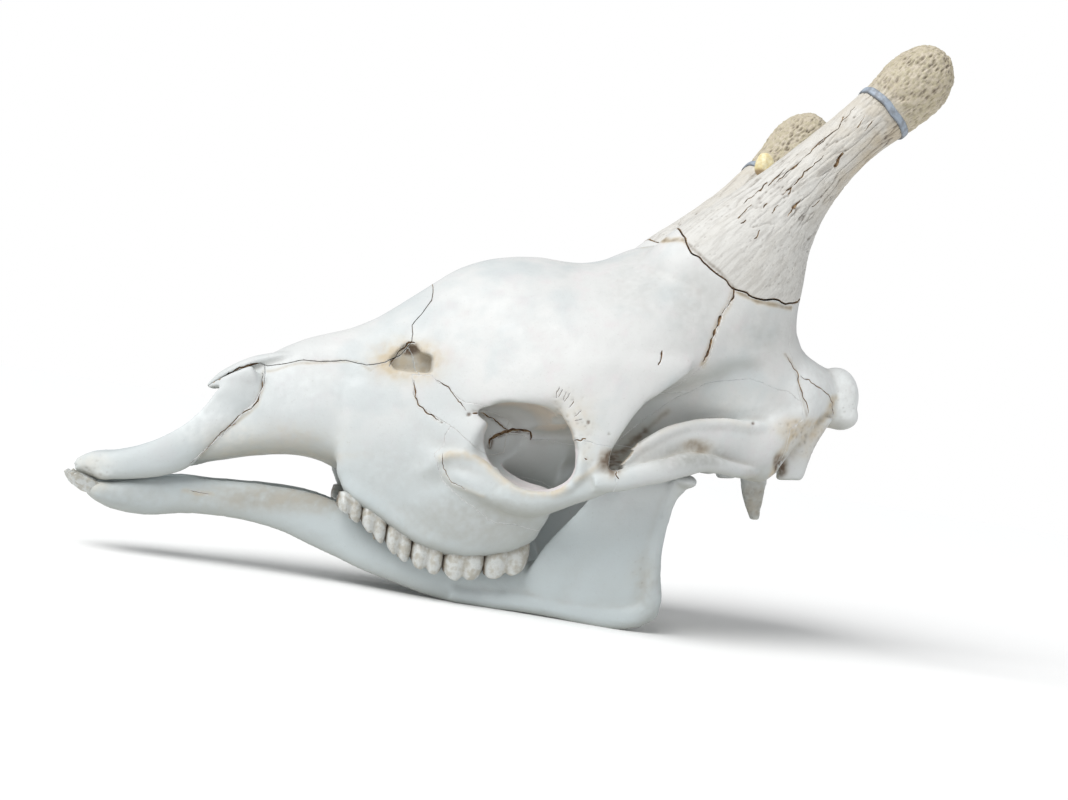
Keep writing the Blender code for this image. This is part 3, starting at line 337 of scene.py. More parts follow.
def unit(rows: Points) -> Points:
    """Gives one direction, or rows of them, the length 1."""
    length = np.linalg.norm(rows) if rows.ndim == 1 else np.linalg.norm(rows, axis=1)[:, None]
    return rows / np.maximum(length, 1e-6)


def circle(sides: int) -> Points:
    """Gives even angles round a circle."""
    return np.arange(sides) * 2 * math.pi / sides


def signed(wave: Points, power: float | Points) -> Points:
    """Raises numbers to a power, each with its sign kept."""
    return np.sign(wave) * np.abs(wave) ** power


def faded(values: Points) -> Points:
    """Limits numbers to the range 0 to 1."""
    return np.clip(values, 0, 1)


def spline(stations: Sequence[Row], steps: int = 5) -> Points:
    """Draws a smooth curve through rows of numbers.

    Args:
        stations: The rows that it passes through.
        steps: Steps to each gap between rows.

    Returns:
        The rows of the curve.
    """
    rows = np.array(stations, float)
    padded = np.vstack([2 * rows[0] - rows[1], rows, 2 * rows[-1] - rows[-2]])
    out = []
    for i in range(1, len(padded) - 2):
        before, start, end, after = padded[i - 1:i + 3]
        for t in np.arange(steps) / steps:
            out.append(0.5 * (2 * start + (end - before) * t
                              + (2 * before - 5 * start + 4 * end - after) * t * t
                              + (3 * start - before - 3 * end + after) * t ** 3))
    out.append(rows[-1])
    return np.array(out)


def skinned(rings: Sequence, closed: bool = False) -> Solid:
    """Makes a closed skin over rings of equal counts.

    Args:
        rings: The rings, each a row of points.
        closed: Whether the last ring joins the first; otherwise both ends are capped.

    Returns:
        The points and faces, facing out.
    """
    rings = np.array(rings, float)
    count, sides = rings.shape[:2]
    points = rings.reshape(-1, 3)
    faces = []
    for i in range(count if closed else count - 1):
        j = (i + 1) % count
        for k in range(sides):
            m = (k + 1) % sides
            faces.append((i * sides + k, i * sides + m, j * sides + m, j * sides + k))
    if not closed:
        faces.append(tuple(reversed(range(sides))))
        faces.append(tuple(range((count - 1) * sides, count * sides)))
    volume = 0.0
    for face in faces:
        ring = points[list(face)]
        volume += np.sum(np.cross(ring[1:-1], ring[2:]) @ ring[0])
    if volume < 0:
        faces = [tuple(reversed(face)) for face in faces]
    return points, faces


def mirrored(solid: Solid) -> Solid:
    """Gives the solid on the other side of the middle plane."""
    points, faces = solid
    return points * np.array([1, -1, 1]), [tuple(reversed(face)) for face in faces]


def both(solid: Solid) -> list[Solid]:
    """Gives the solid and its mirror image."""
    return [solid, mirrored(solid)]


def block(stations: Sequence[Row], sides: int = 56) -> Solid:
    """Makes a solid of rings that stand across the head.

    Args:
        stations: Its rings, in the columns of a block table.
        sides: Points to a ring.

    Returns:
        The solid.
    """
    angles = circle(sides)
    rings = []
    for x, y, low, wide, high, half, top_power, low_power in spline(stations):
        power = np.where(np.sin(angles) > 0, top_power, low_power)
        across = signed(np.cos(angles), 2 / power)
        rise = np.abs(np.sin(angles)) ** (2 / power)
        z = np.where(np.sin(angles) > 0, wide + (high - wide) * rise, wide - (wide - low) * rise)
        rings.append(np.column_stack([np.full(sides, x), y + half * across, z]))
    return skinned(rings)


def bar(stations: Sequence[Row], sides: int = 24, power: float = 2.0) -> Solid:
    """Sweeps a rounded section along a path.

    Args:
        stations: Its sections, in the columns of a bar table.
        sides: Points to a section.
        power: How square a section is; 2 is an ellipse.

    Returns:
        The solid.
    """
    rows = spline(stations)
    angles = circle(sides)
    wide = signed(np.cos(angles), 2 / power)
    deep = signed(np.sin(angles), 2 / power)
    rings = []
    for row, run in zip(rows, np.gradient(rows[:, :3], axis=0)):
        tangent = unit(run)
        side = unit(ACROSS - tangent[1] * tangent)
        out = np.cross(tangent, side)
        rings.append(row[:3] + np.outer(wide * row[3], side) + np.outer(deep * row[4], out))
    return skinned(rings)


def plate(stations: Sequence[Row], sides: int = 24, power: float = 2.0) -> Solid:
    """Sweeps a flattened section between two edges.

    Args:
        stations: Its sections, in the columns of a plate table.
        sides: Points to a section.
        power: How square a section is; 2 is an ellipse.

    Returns:
        The solid.
    """
    angles = circle(sides)
    thick = signed(np.cos(angles), 2 / power)
    along = signed(np.sin(angles), 2 / power)
    rings = []
    for row in spline(stations):
        front, back = row[:3], row[3:6]
        reach = (back - front) / 2
        side = unit(ACROSS - reach * reach[1] / np.dot(reach, reach))
        rings.append((front + back) / 2 + np.outer(along, reach) + np.outer(thick * row[6], side))
    return skinned(rings)


def ball(centre: Sequence[float], radii: Row, rows: int = 18, sides: int = 32) -> Solid:
    """Makes an ellipsoid.

    Args:
        centre: Its middle.
        radii: Its radii along x, y and z.
        rows: Rings from pole to pole.
        sides: Points to a ring.

    Returns:
        The solid.
    """
    turn = circle(sides)
    rings = []
    for i in range(1, rows):
        lift = math.pi * i / rows - math.pi / 2
        rings.append(np.column_stack([centre[0] + radii[0] * math.cos(lift) * np.cos(turn),
                                      centre[1] + radii[1] * math.cos(lift) * np.sin(turn),
                                      np.full(sides, centre[2] + radii[2] * math.sin(lift))]))
    return skinned(rings)


@dataclass(frozen=True)
class Grain:
    """Smooth random variation over space.

    Attributes:
        size: Distance over which it changes, in millimetres.
        seed: Which variation it is.
    """
    size: float
    seed: int
    # Keeps the numbers of all cells positive.
    FAR = 1000.0

    @staticmethod
    def scatter(cells: Points, seed: int) -> Points:
        """Gives each whole-number cell its own number.

        Args:
            cells: Rows of three whole numbers.
            seed: Which set of numbers.

        Returns:
            A number from 0 to 1 for each row.
        """
        mix = cells[:, 0] * 73856093 ^ cells[:, 1] * 19349663 ^ cells[:, 2] * 83492791 ^ seed * 2654435761
        mix = (mix ^ (mix >> 13)) * 1274126177
        mix = (mix ^ (mix >> 16)) * 1911520717
        return ((mix ^ (mix >> 11)) & 0xFFFFF) / 0xFFFFF

    def at(self, points: Points) -> Points:
        """Reads the variation at points.

        Args:
            points: Rows of x, y and z.

        Returns:
            A number from -1 to 1 for each row.
        """
        spot = points / self.size + self.FAR
        cell = np.floor(spot).astype(np.int64)
        part = spot - cell
        part = part * part * (3 - 2 * part)
        total = np.zeros(len(points))
        for corner in np.ndindex(2, 2, 2):
            weight = np.prod(np.where(np.array(corner) == 1, part, 1 - part), axis=1)
            total += weight * self.scatter(cell + np.array(corner), self.seed)
        return total * 2 - 1

    def layered(self, points: Points, layers: int = 3) -> Points:
        """Adds finer and fainter layers to the variation.

        Args:
            points: Rows of x, y and z.
            layers: How many layers.

        Returns:
            About -1 to 1 for each row.
        """
        total = np.zeros(len(points))
        for i in range(layers):
            total += Grain(self.size / 2 ** i, self.seed + i).at(points) / 2 ** i
        return total / 1.5

    def pits(self, points: Points) -> Points:
        """Finds how far points lie from the nearest of scattered spots.

        Args:
            points: Rows of x, y and z.

        Returns:
            The distance in cells, 0 at a spot.
        """
        spot = points / self.size + self.FAR
        cell = np.floor(spot).astype(np.int64)
        nearest = np.full(len(points), 9.0)
        for step in np.ndindex(3, 3, 3):
            near = cell + np.array(step) - 1
            place = near + np.column_stack([self.scatter(near, self.seed + k) for k in range(3)])
            nearest = np.minimum(nearest, np.sum((place - spot) ** 2, axis=1))
        return np.sqrt(nearest)


@dataclass
class Mesh:
    """The points, edges and normals of an object's mesh as arrays, in millimetres.

    Attributes:
        obj: The object.
    """
    obj: Object
    points: Points = field(init=False)
    normals: Points = field(init=False)

    def __post_init__(self) -> None:
        """Reads the arrays."""
        self.points = self.read(self.obj.data.vertices, "co", 3) / MM
        self.normals = self.read(self.obj.data.vertices, "normal", 3)

    @staticmethod
    def read(items: object, name: str, width: int) -> Points:
        """Reads one property of a list of mesh items.

        Args:
            items: The list.
            name: The property.
            width: Numbers to an item.

        Returns:
            One row to an item.
        """
        flat = np.empty(len(items) * width, np.float32)
        items.foreach_get(name, flat)
        return flat.reshape(-1, width).astype(float)

    def edges(self) -> np.ndarray:
        """Gives the two points of each edge."""
        flat = np.empty(len(self.obj.data.edges) * 2, np.int32)
        self.obj.data.edges.foreach_get("vertices", flat)
        return flat.reshape(-1, 2)

    def relaxed(self, values: Points, rounds: int) -> Points:
        """Averages values over neighbouring points.

        Args:
            values: One row to a point.
            rounds: How often.

        Returns:
            The averaged rows.
        """
        pairs = self.edges()
        ends = np.concatenate([pairs[:, 0], pairs[:, 1]])
        others = np.concatenate([pairs[:, 1], pairs[:, 0]])
        count = np.maximum(np.bincount(ends, minlength=len(values)), 1)
        values = values.reshape(len(values), -1)
        for _ in range(rounds):
            spread = [np.bincount(ends, weights=values[others, k], minlength=len(values)) / count
                      for k in range(values.shape[1])]
            values = (values + np.column_stack(spread)) / 2
        return values

    def hollowness(self, rounds: int) -> Points:
        """Measures how far each point lies under the surface smoothed by some rounds."""
        return np.sum((self.relaxed(self.points, rounds) - self.points) * self.normals, axis=1)

    def raise_by(self, heights: Points) -> None:
        """Moves each point along its normal, by millimetres."""
        self.points = self.points + self.normals * heights[:, None]
        self.obj.data.vertices.foreach_set("co", (self.points * MM).astype(np.float32).ravel())
        self.obj.data.update()

    def keep(self, name: str, values: Points) -> None:
        """Stores a number for each point, which a finish reads by its name."""
        layer = self.obj.data.attributes.get(name) or self.obj.data.attributes.new(name, "FLOAT", "POINT")
        layer.data.foreach_set("value", values.astype(np.float32))

    def kept(self, name: str) -> Points:
        """Gives the numbers that are stored under a name."""
        return self.read(self.obj.data.attributes[name].data, "value", 1)[:, 0]


@dataclass(frozen=True)
class Clay:
    """Makes and joins closed solids.

    Attributes:
        coarse: Grain of the first fusing, in millimetres.
        fine: Grain of the last fusing.
    """
    coarse: float = 3.0
    fine: float = 1.5

    def made(self, name: str, solids: Sequence[Solid], slot: int = 0) -> Object:
        """Makes one mesh object from closed solids, which may overlap.

        Args:
            name: The object's name.
            solids: The solids.
            slot: Material slot of all faces.

        Returns:
            The object.
        """
        points, faces = [], []
        for solid_points, solid_faces in solids:
            shift = len(points)
            points.extend((np.array(solid_points) * MM).tolist())
            faces.extend(tuple(i + shift for i in face) for face in solid_faces)
        mesh = bpy.data.meshes.new(name)
        mesh.from_pydata(points, [], faces)
        mesh.polygons.foreach_set("material_index", np.full(len(faces), slot, np.int32))
        return placed(name, mesh)

    def settle(self, obj: Object) -> None:
        """Makes the object's modified mesh its own.

        Args:
            obj: The object.
        """
        bpy.context.view_layer.update()
        graph = bpy.context.evaluated_depsgraph_get()
        made = bpy.data.meshes.new_from_object(obj.evaluated_get(graph))
        old = obj.data
        obj.modifiers.clear()
        obj.data = made
        bpy.data.meshes.remove(old)

    def fused(self, obj: Object, blur: float, grain: float) -> None:
        """Fuses overlapping solids into one skin.

        Args:
            obj: The object.
            blur: How far it is softened, in millimetres.
            grain: Size of the skin's faces.
        """
        remesh = obj.modifiers.new("fuse", "REMESH")
        remesh.mode = "VOXEL"
        remesh.voxel_size = grain * MM
        soften = obj.modifiers.new("soften", "SMOOTH")
        soften.factor = 0.5
        soften.iterations = round(4 * (blur / grain) ** 2)
        self.settle(obj)

    def cut(self, obj: Object, solids: Sequence[Solid], how: Cut, slot: int = 0) -> None:
        """Applies one Boolean with closed solids.

        Args:
            obj: The object that changes.
            solids: The solids.
            how: What is kept.
            slot: Material slot of the faces that they leave.
        """
        group = bpy.data.collections.new("others")
        bpy.context.scene.collection.children.link(group)
        others = [self.made("other", [solid], slot) for solid in solids]
        for other in others:
            bpy.context.scene.collection.objects.unlink(other)
            group.objects.link(other)
            for material in obj.data.materials:
                other.data.materials.append(material)
        modifier = obj.modifiers.new("cut", "BOOLEAN")
        modifier.operation = how.value
        modifier.solver = "MANIFOLD"
        modifier.operand_type = "COLLECTION"
        modifier.collection = group
        modifier.material_mode = "INDEX"
        self.settle(obj)
        for other in others:
            old = other.data
            bpy.data.objects.remove(other)
            bpy.data.meshes.remove(old)
        bpy.data.collections.remove(group)

    def add(self, obj: Object, solids: Sequence[Solid]) -> None:
        """Joins more solids to the object's mesh, to be fused next.

        Args:
            obj: The object.
            solids: The solids.
        """
        extra = self.made("extra", solids)
        grown = bmesh.new()
        grown.from_mesh(obj.data)
        grown.from_mesh(extra.data)
        grown.to_mesh(obj.data)
        grown.free()
        bpy.data.objects.remove(extra)

    def largest(self, obj: Object) -> None:
        """Keeps only the largest closed surface of the object's mesh.

        Args:
            obj: The object.
        """
        pairs = Mesh(obj).edges()
        label, lowest = None, np.arange(len(obj.data.vertices))
        while not np.array_equal(label, lowest):
            label, lowest = lowest, lowest.copy()
            low = np.minimum(label[pairs[:, 0]], label[pairs[:, 1]])
            for column in pairs.T:
                np.minimum.at(lowest, column, low)
            lowest = lowest[lowest]
        drop = np.flatnonzero(label != np.bincount(label).argmax())
        if not len(drop):
            return
        mesh = bmesh.new()
        mesh.from_mesh(obj.data)
        mesh.verts.ensure_lookup_table()
        bmesh.ops.delete(mesh, geom=[mesh.verts[i] for i in drop], context="VERTS")
        mesh.to_mesh(obj.data)
        mesh.free()


@dataclass(frozen=True)
class Outline:
    """A closed side outline (x, z) that parts one bone from the others.

    Attributes:
        corners: Its corners.
        swing: How far the suture wanders from it.
        seed: Which way it wanders.
        lift: How much higher it runs at the middle plane.
    """
    corners: list[Row]
    swing: float = 0.0
    seed: int = 0
    lift: float = 0.0
    STEP = 3.0
    STRAIGHT_FROM = 90.0
    LIFT_HALF_WIDTH = 80.0
    LIFT_POWER = 1.5

    def wandering(self) -> Points:
        """Gives the outline with small steps that wander to both sides."""
        corners = np.array(self.corners, float)
        if not self.swing:
            return corners
        out = []
        for start, end in zip(corners, np.roll(corners, -1, 0)):
            run = end - start
            length = np.linalg.norm(run)
            if length > self.STRAIGHT_FROM:
                out.append(start)
                continue
            for t in np.arange(0, 1, min(1.0, self.STEP / length)):
                out.append(start + run * t)
        out = np.array(out)
        spots = np.column_stack([out[:, 0], np.zeros(len(out)), out[:, 1]])
        return out + self.swing * sum(
            share * np.column_stack([Grain(size, self.seed + seed).at(spots) for seed in seeds])
            for size, share, seeds in ((5.0, 0.5, (0, 7)), (14.0, 0.8, (3, 9))))

    def ring(self, grow: float) -> Points:
        """Gives the outline moved out by a distance.

        Args:
            grow: The distance; a negative one moves it in.

        Returns:
            Its corners.
        """
        points = self.wandering()
        after = np.roll(points, -1, 0)
        run = unit(after - points)
        area = np.sum(points[:, 0] * after[:, 1] - after[:, 0] * points[:, 1])
        out = np.column_stack([run[:, 1], -run[:, 0]]) * np.sign(area)
        before = np.roll(out, 1, 0)
        turn = np.maximum(1 + np.sum(before * out, axis=1), 0.5)
        return points + grow * (before + out) / turn[:, None]

    def space(self, low: float, high: float, grow: float) -> Solid:
        """Gives the space inside the outline between two distances from the middle plane.

        Args:
            low: Lowest y.
            high: Highest y.
            grow: How far the space is grown all round.

        Returns:
            The solid.
        """
        ring = self.ring(grow)
        rings = []
        for y in np.linspace(low - grow, high + grow, 13 if self.lift else 2):
            rise = self.lift * max(0.0, 1 - abs(y) / self.LIFT_HALF_WIDTH) ** self.LIFT_POWER
            rings.append(np.column_stack([ring[:, 0], np.full(len(ring), y), ring[:, 1] + rise]))
        return skinned(rings)


class Nodes:
    """Builds one material from simple steps.

    Attributes:
        material: The material.
        shader: Its surface shader.
    """

    def __init__(self, name: str) -> None:
        """Starts a plain material.

        Args:
            name: Its name.
        """
        self.material = bpy.data.materials.new(name)
        self.material.use_nodes = True
        self.tree = self.material.node_tree
        self.shader = self.tree.nodes["Principled BSDF"]
        self.place = self.tree.nodes.new("ShaderNodeTexCoord").outputs["Object"]

    def join(self, source: object, target: NodeSocket) -> None:
        """Links a socket to another, or sets a plain value there.

        Args:
            source: A socket, number or colour.
            target: The socket that takes it.
        """
        if isinstance(source, NodeSocket):
            self.tree.links.new(source, target)
        else:
            target.default_value = source

    def noise(self, size: float, detail: float, stretch: Row = (1, 1, 1), rough: float = 0.55,
              turn: float = 0.0) -> NodeSocket:
        """Makes cloudy variation.

        Args:
            size: Size of its patches in millimetres.
            detail: Layers of finer variation.
            stretch: How much longer it is along x, y and z.
            rough: Strength of the finer layers.
            turn: Degrees that those directions are turned about y, from z towards x.

        Returns:
            Its value, about 0.3 to 0.7.
        """
        spread = self.tree.nodes.new("ShaderNodeMapping")
        spread.vector_type = "TEXTURE"
        spread.inputs["Scale"].default_value = stretch
        spread.inputs["Rotation"].default_value = (0, math.radians(turn), 0)
        self.join(self.place, spread.inputs["Vector"])
        cloud = self.tree.nodes.new("ShaderNodeTexNoise")
        cloud.inputs["Scale"].default_value = 1 / (size * MM)
        cloud.inputs["Detail"].default_value = detail
        cloud.inputs["Roughness"].default_value = rough
        self.join(spread.outputs["Vector"], cloud.inputs["Vector"])
        return cloud.outputs[0]

    def read(self, name: str) -> NodeSocket:
        """Reads a number that is stored on the mesh's points."""
        attribute = self.tree.nodes.new("ShaderNodeAttribute")
        attribute.attribute_name = name
        return attribute.outputs["Fac"]

    def spread(self, value: object, low: float, high: float, to_low: float = 0.0,
               to_high: float = 1.0) -> NodeSocket:
        """Maps a range of a value to another range, smoothly and within it.

        Args:
            value: The value.
            low: Start of its range.
            high: End of its range.
            to_low: What the start becomes.
            to_high: What the end becomes.

        Returns:
            The mapped value.
        """
        node = self.tree.nodes.new("ShaderNodeMapRange")
        node.interpolation_type = "SMOOTHSTEP"
        for given, target in zip((value, low, high, to_low, to_high), node.inputs):
            self.join(given, target)
        return node.outputs["Result"]

    def sum(self, kind: str, first: object, second: object) -> NodeSocket:
        """Does one sum with two values.

        Args:
            kind: The sum's name.
            first: Its first value.
            second: Its second value.

        Returns:
            Its result.
        """
        node = self.tree.nodes.new("ShaderNodeMath")
        node.operation = kind
        self.join(first, node.inputs[0])
        self.join(second, node.inputs[1])
        return node.outputs[0]

    def mix(self, share: object, first: object, second: object) -> NodeSocket:
        """Mixes two colours.

        Args:
            share: Share of the second one.
            first: The first colour.
            second: The second colour.

        Returns:
            The mixed colour.
        """
        node = self.tree.nodes.new("ShaderNodeMix")
        node.data_type = "RGBA"
        self.join(share, node.inputs[0])
        self.join(first, node.inputs[6])
        self.join(second, node.inputs[7])
        return node.outputs[2]

    def bump(self, height: NodeSocket, depth: float, strength: float) -> None:
        """Roughens the surface.

        Args:
            height: The relief, 0 to 1.
            depth: Its depth in millimetres.
            strength: How strongly it shows.
        """
        node = self.tree.nodes.new("ShaderNodeBump")
        node.inputs["Distance"].default_value = depth * MM
        node.inputs["Strength"].default_value = strength
        self.join(height, node.inputs["Height"])
        before = self.shader.inputs["Normal"]
        if before.is_linked:
            self.join(before.links[0].from_socket, node.inputs["Normal"])
        self.join(node.outputs["Normal"], before)

    def done(self, colour: object, roughness: object) -> Material:
        """Joins the colour and roughness to the shader.

        Args:
            colour: The colour.
            roughness: The roughness.

        Returns:
            The material.
        """
        self.join(colour, self.shader.inputs["Base Color"])
        self.join(roughness, self.shader.inputs["Roughness"])
        return self.material


Colour = tuple[float, float, float, float]


@dataclass(frozen=True)
class BoneFinish:
    """Dry, cleaned bone: nearly white, bluish grey in places, brown in its cracks and seams.

    Most colours are named like the tint, stored on the mesh, that brings them in; flesh is a faint warm
    cloudiness and pale the rest. The bluish grey is a random tone and also painted shade towards the
    bottom; under is painted shade on faces turned down; hollow is painted shade in hollows and also fine
    random specks; grey is painted shade in patches, and white painted light in patches.
    """
    pale: Colour = (0.635, 0.64, 0.63, 1)
    # Bluish grey: a random tone, and painted shade towards the bottom.
    cool: Colour = (0.44, 0.505, 0.52, 1)
    flesh: Colour = (0.64, 0.60, 0.605, 1)
    cream: Colour = (0.54, 0.465, 0.345, 1)
    lilac: Colour = (0.69, 0.65, 0.655, 1)
    # Grey is painted shade and white is painted light, each laid in patches.
    grey: Colour = (0.35, 0.355, 0.335, 1)
    white: Colour = (0.79, 0.82, 0.82, 1)
    # Under is painted shade on faces turned down; hollow is painted shade in hollows, and fine specks too.
    under: Colour = (0.33, 0.335, 0.30, 1)
    hollow: Colour = (0.34, 0.32, 0.275, 1)
    dark: Colour = (0.10, 0.060, 0.035, 1)

    def material(self) -> Material:
        """Builds the material."""
        made = Nodes("bone")
        broad = made.noise(60, 3)
        patchy = made.noise(18, 5)
        fine = made.noise(2.2, 4, rough=0.7)
        colour = made.mix(made.spread(patchy, 0.50, 0.72, 0, 0.5), self.pale, self.flesh)
        # Painted shade towards the bottom, together with random bluish patches.
        cool = made.sum("MAXIMUM", made.spread(broad, 0.45, 0.68, 0, 0.45),
                        made.sum("MULTIPLY", made.read("cool"), 0.75))
        colour = made.mix(cool, colour, self.cool)
        # Painted light in the white patches, painted shade in the grey ones.
        colour = made.mix(made.read("white"), colour, self.white)
        colour = made.mix(made.read("grey"), colour, self.grey)
        # Painted shade on faces turned down.
        colour = made.mix(made.sum("MULTIPLY", made.read("under"), 0.8), colour, self.under)
        cream = made.sum("MULTIPLY", made.read("cream"), made.spread(patchy, 0.3, 0.6, 0.5, 1.0))
        colour = made.mix(cream, colour, self.cream)
        colour = made.mix(made.read("lilac"), colour, self.lilac)
        colour = made.mix(made.spread(fine, 0.57, 0.76, 0, 0.24), colour, self.hollow)
        # Painted shade in hollows.
        hollow = made.sum("MULTIPLY", made.read("hollow"), made.spread(patchy, 0.35, 0.65, 0.45, 0.9))
        colour = made.mix(made.sum("MULTIPLY", hollow, 0.5), colour, self.hollow)
        seam = made.sum("MULTIPLY", made.read("seam"), made.spread(patchy, 0.46, 0.6, 0.0, 1.0))
        dark = made.sum("MAXIMUM", made.read("dark"), made.sum("MULTIPLY", seam, 0.5))
        colour = made.mix(made.spread(dark, 0.05, 0.9, 0, 0.92), colour, self.dark)
        made.bump(made.noise(6, 5, rough=0.6), 0.45, 0.5)
        made.bump(fine, 0.18, 0.7)
        return made.done(colour, made.spread(patchy, 0.3, 0.7, 0.45, 0.7))


@dataclass(frozen=True)
class HornFinish:
    """Horn bone: off-white, with grey streaks along its length, beige towards the olive knob, with painted
    shade: darker in hollows, and beige and darker on the side turned back and down.

    Attributes:
        lean: Degrees that the horns, and so the streaks, lean back.
    """
    pale: Colour = (0.62, 0.61, 0.58, 1)
    grey: Colour = (0.48, 0.465, 0.435, 1)
    beige: Colour = (0.54, 0.475, 0.37, 1)
    olive: Colour = (0.46, 0.41, 0.28, 1)
    hollow: Colour = (0.30, 0.245, 0.175, 1)
    dark: Colour = (0.105, 0.075, 0.05, 1)
    lean: float = 38.0

    def material(self) -> Material:
        """Builds the material."""
        made = Nodes("horn_bone")
        streaks = made.noise(3.0, 5, (1, 1, 7), turn=self.lean)
        patchy = made.noise(14, 5)
        specks = made.noise(3.5, 5, rough=0.65)
        fine = made.noise(1.6, 4, rough=0.7)
        colour = made.mix(made.spread(streaks, 0.42, 0.66, 0, 0.7), self.pale, self.grey)
        # Cream and dark carry, besides stains, painted shade on the side turned back and down.
        cream = made.sum("MULTIPLY", made.read("cream"), made.spread(patchy, 0.32, 0.62, 0.45, 1.0))
        colour = made.mix(cream, colour, self.beige)
        knob = made.mix(made.spread(specks, 0.40, 0.60), self.beige, self.olive)
        colour = made.mix(made.sum("MULTIPLY", made.read("knob"), 0.9), colour, knob)
        colour = made.mix(made.spread(fine, 0.56, 0.74, 0, 0.3), colour, self.hollow)
        # Painted shade in hollows.
        hollow = made.sum("MULTIPLY", made.read("hollow"), 0.6)
        colour = made.mix(hollow, colour, self.hollow)
        seam = made.sum("MULTIPLY", made.read("seam"), made.spread(patchy, 0.4, 0.58, 0.2, 1.0))
        dark = made.sum("MAXIMUM", made.read("dark"), made.sum("MULTIPLY", seam, 0.7))
        colour = made.mix(made.spread(dark, 0.05, 0.9, 0, 0.92), colour, self.dark)
        made.bump(streaks, 0.6, 0.7)
        made.bump(fine, 0.25, 0.9)
        return made.done(colour, made.spread(patchy, 0.3, 0.7, 0.5, 0.8))


@dataclass(frozen=True)
class WallFinish:
    """The walls of a seam between two bones.

    Attributes:
        name: The material's name.
        light: Its lighter colour.
        deep: Its darker colour.
    """
    name: str
    light: Colour
    deep: Colour

    def material(self) -> Material:
        """Builds the material."""
        made = Nodes(self.name)
        grain = made.noise(3, 4)
        made.bump(grain, 0.3, 0.7)
        return made.done(made.mix(made.spread(grain, 0.4, 0.6), self.deep, self.light), 0.85)


@dataclass(frozen=True)
class EnamelFinish:
    """Tooth enamel: greyish ivory, a little glossy, brown at the gum and between teeth."""
    pale: Colour = (0.52, 0.535, 0.52, 1)
    ivory: Colour = (0.39, 0.375, 0.325, 1)
    stain: Colour = (0.24, 0.20, 0.14, 1)
    dark: Colour = (0.085, 0.055, 0.035, 1)

    def material(self) -> Material:
        """Builds the material."""
        made = Nodes("enamel")
        patchy = made.noise(6, 4)
        streaks = made.noise(1.8, 4, (1, 1, 4))
        colour = made.mix(made.spread(patchy, 0.4, 0.64), self.pale, self.ivory)
        stain = made.sum("MULTIPLY", made.read("stain"), made.spread(streaks, 0.34, 0.62, 0.35, 1.0))
        colour = made.mix(stain, colour, self.stain)
        colour = made.mix(made.read("dark"), colour, self.dark)
        made.bump(streaks, 0.3, 0.6)
        made.shader.inputs["Coat Weight"].default_value = 0.15
        return made.done(colour, made.spread(patchy, 0.3, 0.7, 0.26, 0.45))


@dataclass(frozen=True)
class WornFinish:
    """What the skull wears, in patches of two tones, with a darker colour where the dark tint is stored: a
    painted shadow along the strap's lower edge, and darker towards the bottom of the lump.

    Attributes:
        name: The material's name.
        pale: Main colour.
        deep: Colour of its darker patches.
        dirt: Colour where the dark tint is stored: a painted shadow on the strap, darker towards the bottom
            on the lump.
        cloud: Size of the patches in millimetres.
        full: Level of the clouds from which the darker colour is full.
        relief: Size and layers of its relief, and its depth in millimetres.
        rough: Lowest and highest roughness.
    """
    name: str
    pale: Colour
    deep: Colour
    dirt: Colour
    cloud: float
    full: float
    relief: tuple[float, float, float]
    rough: tuple[float, float]

    def material(self) -> Material:
        """Builds the material."""
        made = Nodes(self.name)
        patchy = made.noise(self.cloud, 5)
        colour = made.mix(made.spread(patchy, 0.42, self.full), self.pale, self.deep)
        colour = made.mix(made.read("dark"), colour, self.dirt)
        size, layers, depth = self.relief
        made.bump(made.noise(size, layers), depth, 0.8)
        return made.done(colour, made.spread(patchy, 0.3, 0.7, *self.rough))


@dataclass(frozen=True)
class FloorFinish:
    """A plain white floor."""
    pale: Colour = (0.96, 0.96, 0.955, 1)

    def material(self) -> Material:
        """Builds the material."""
        return Nodes("floor").done(self.pale, 0.8)


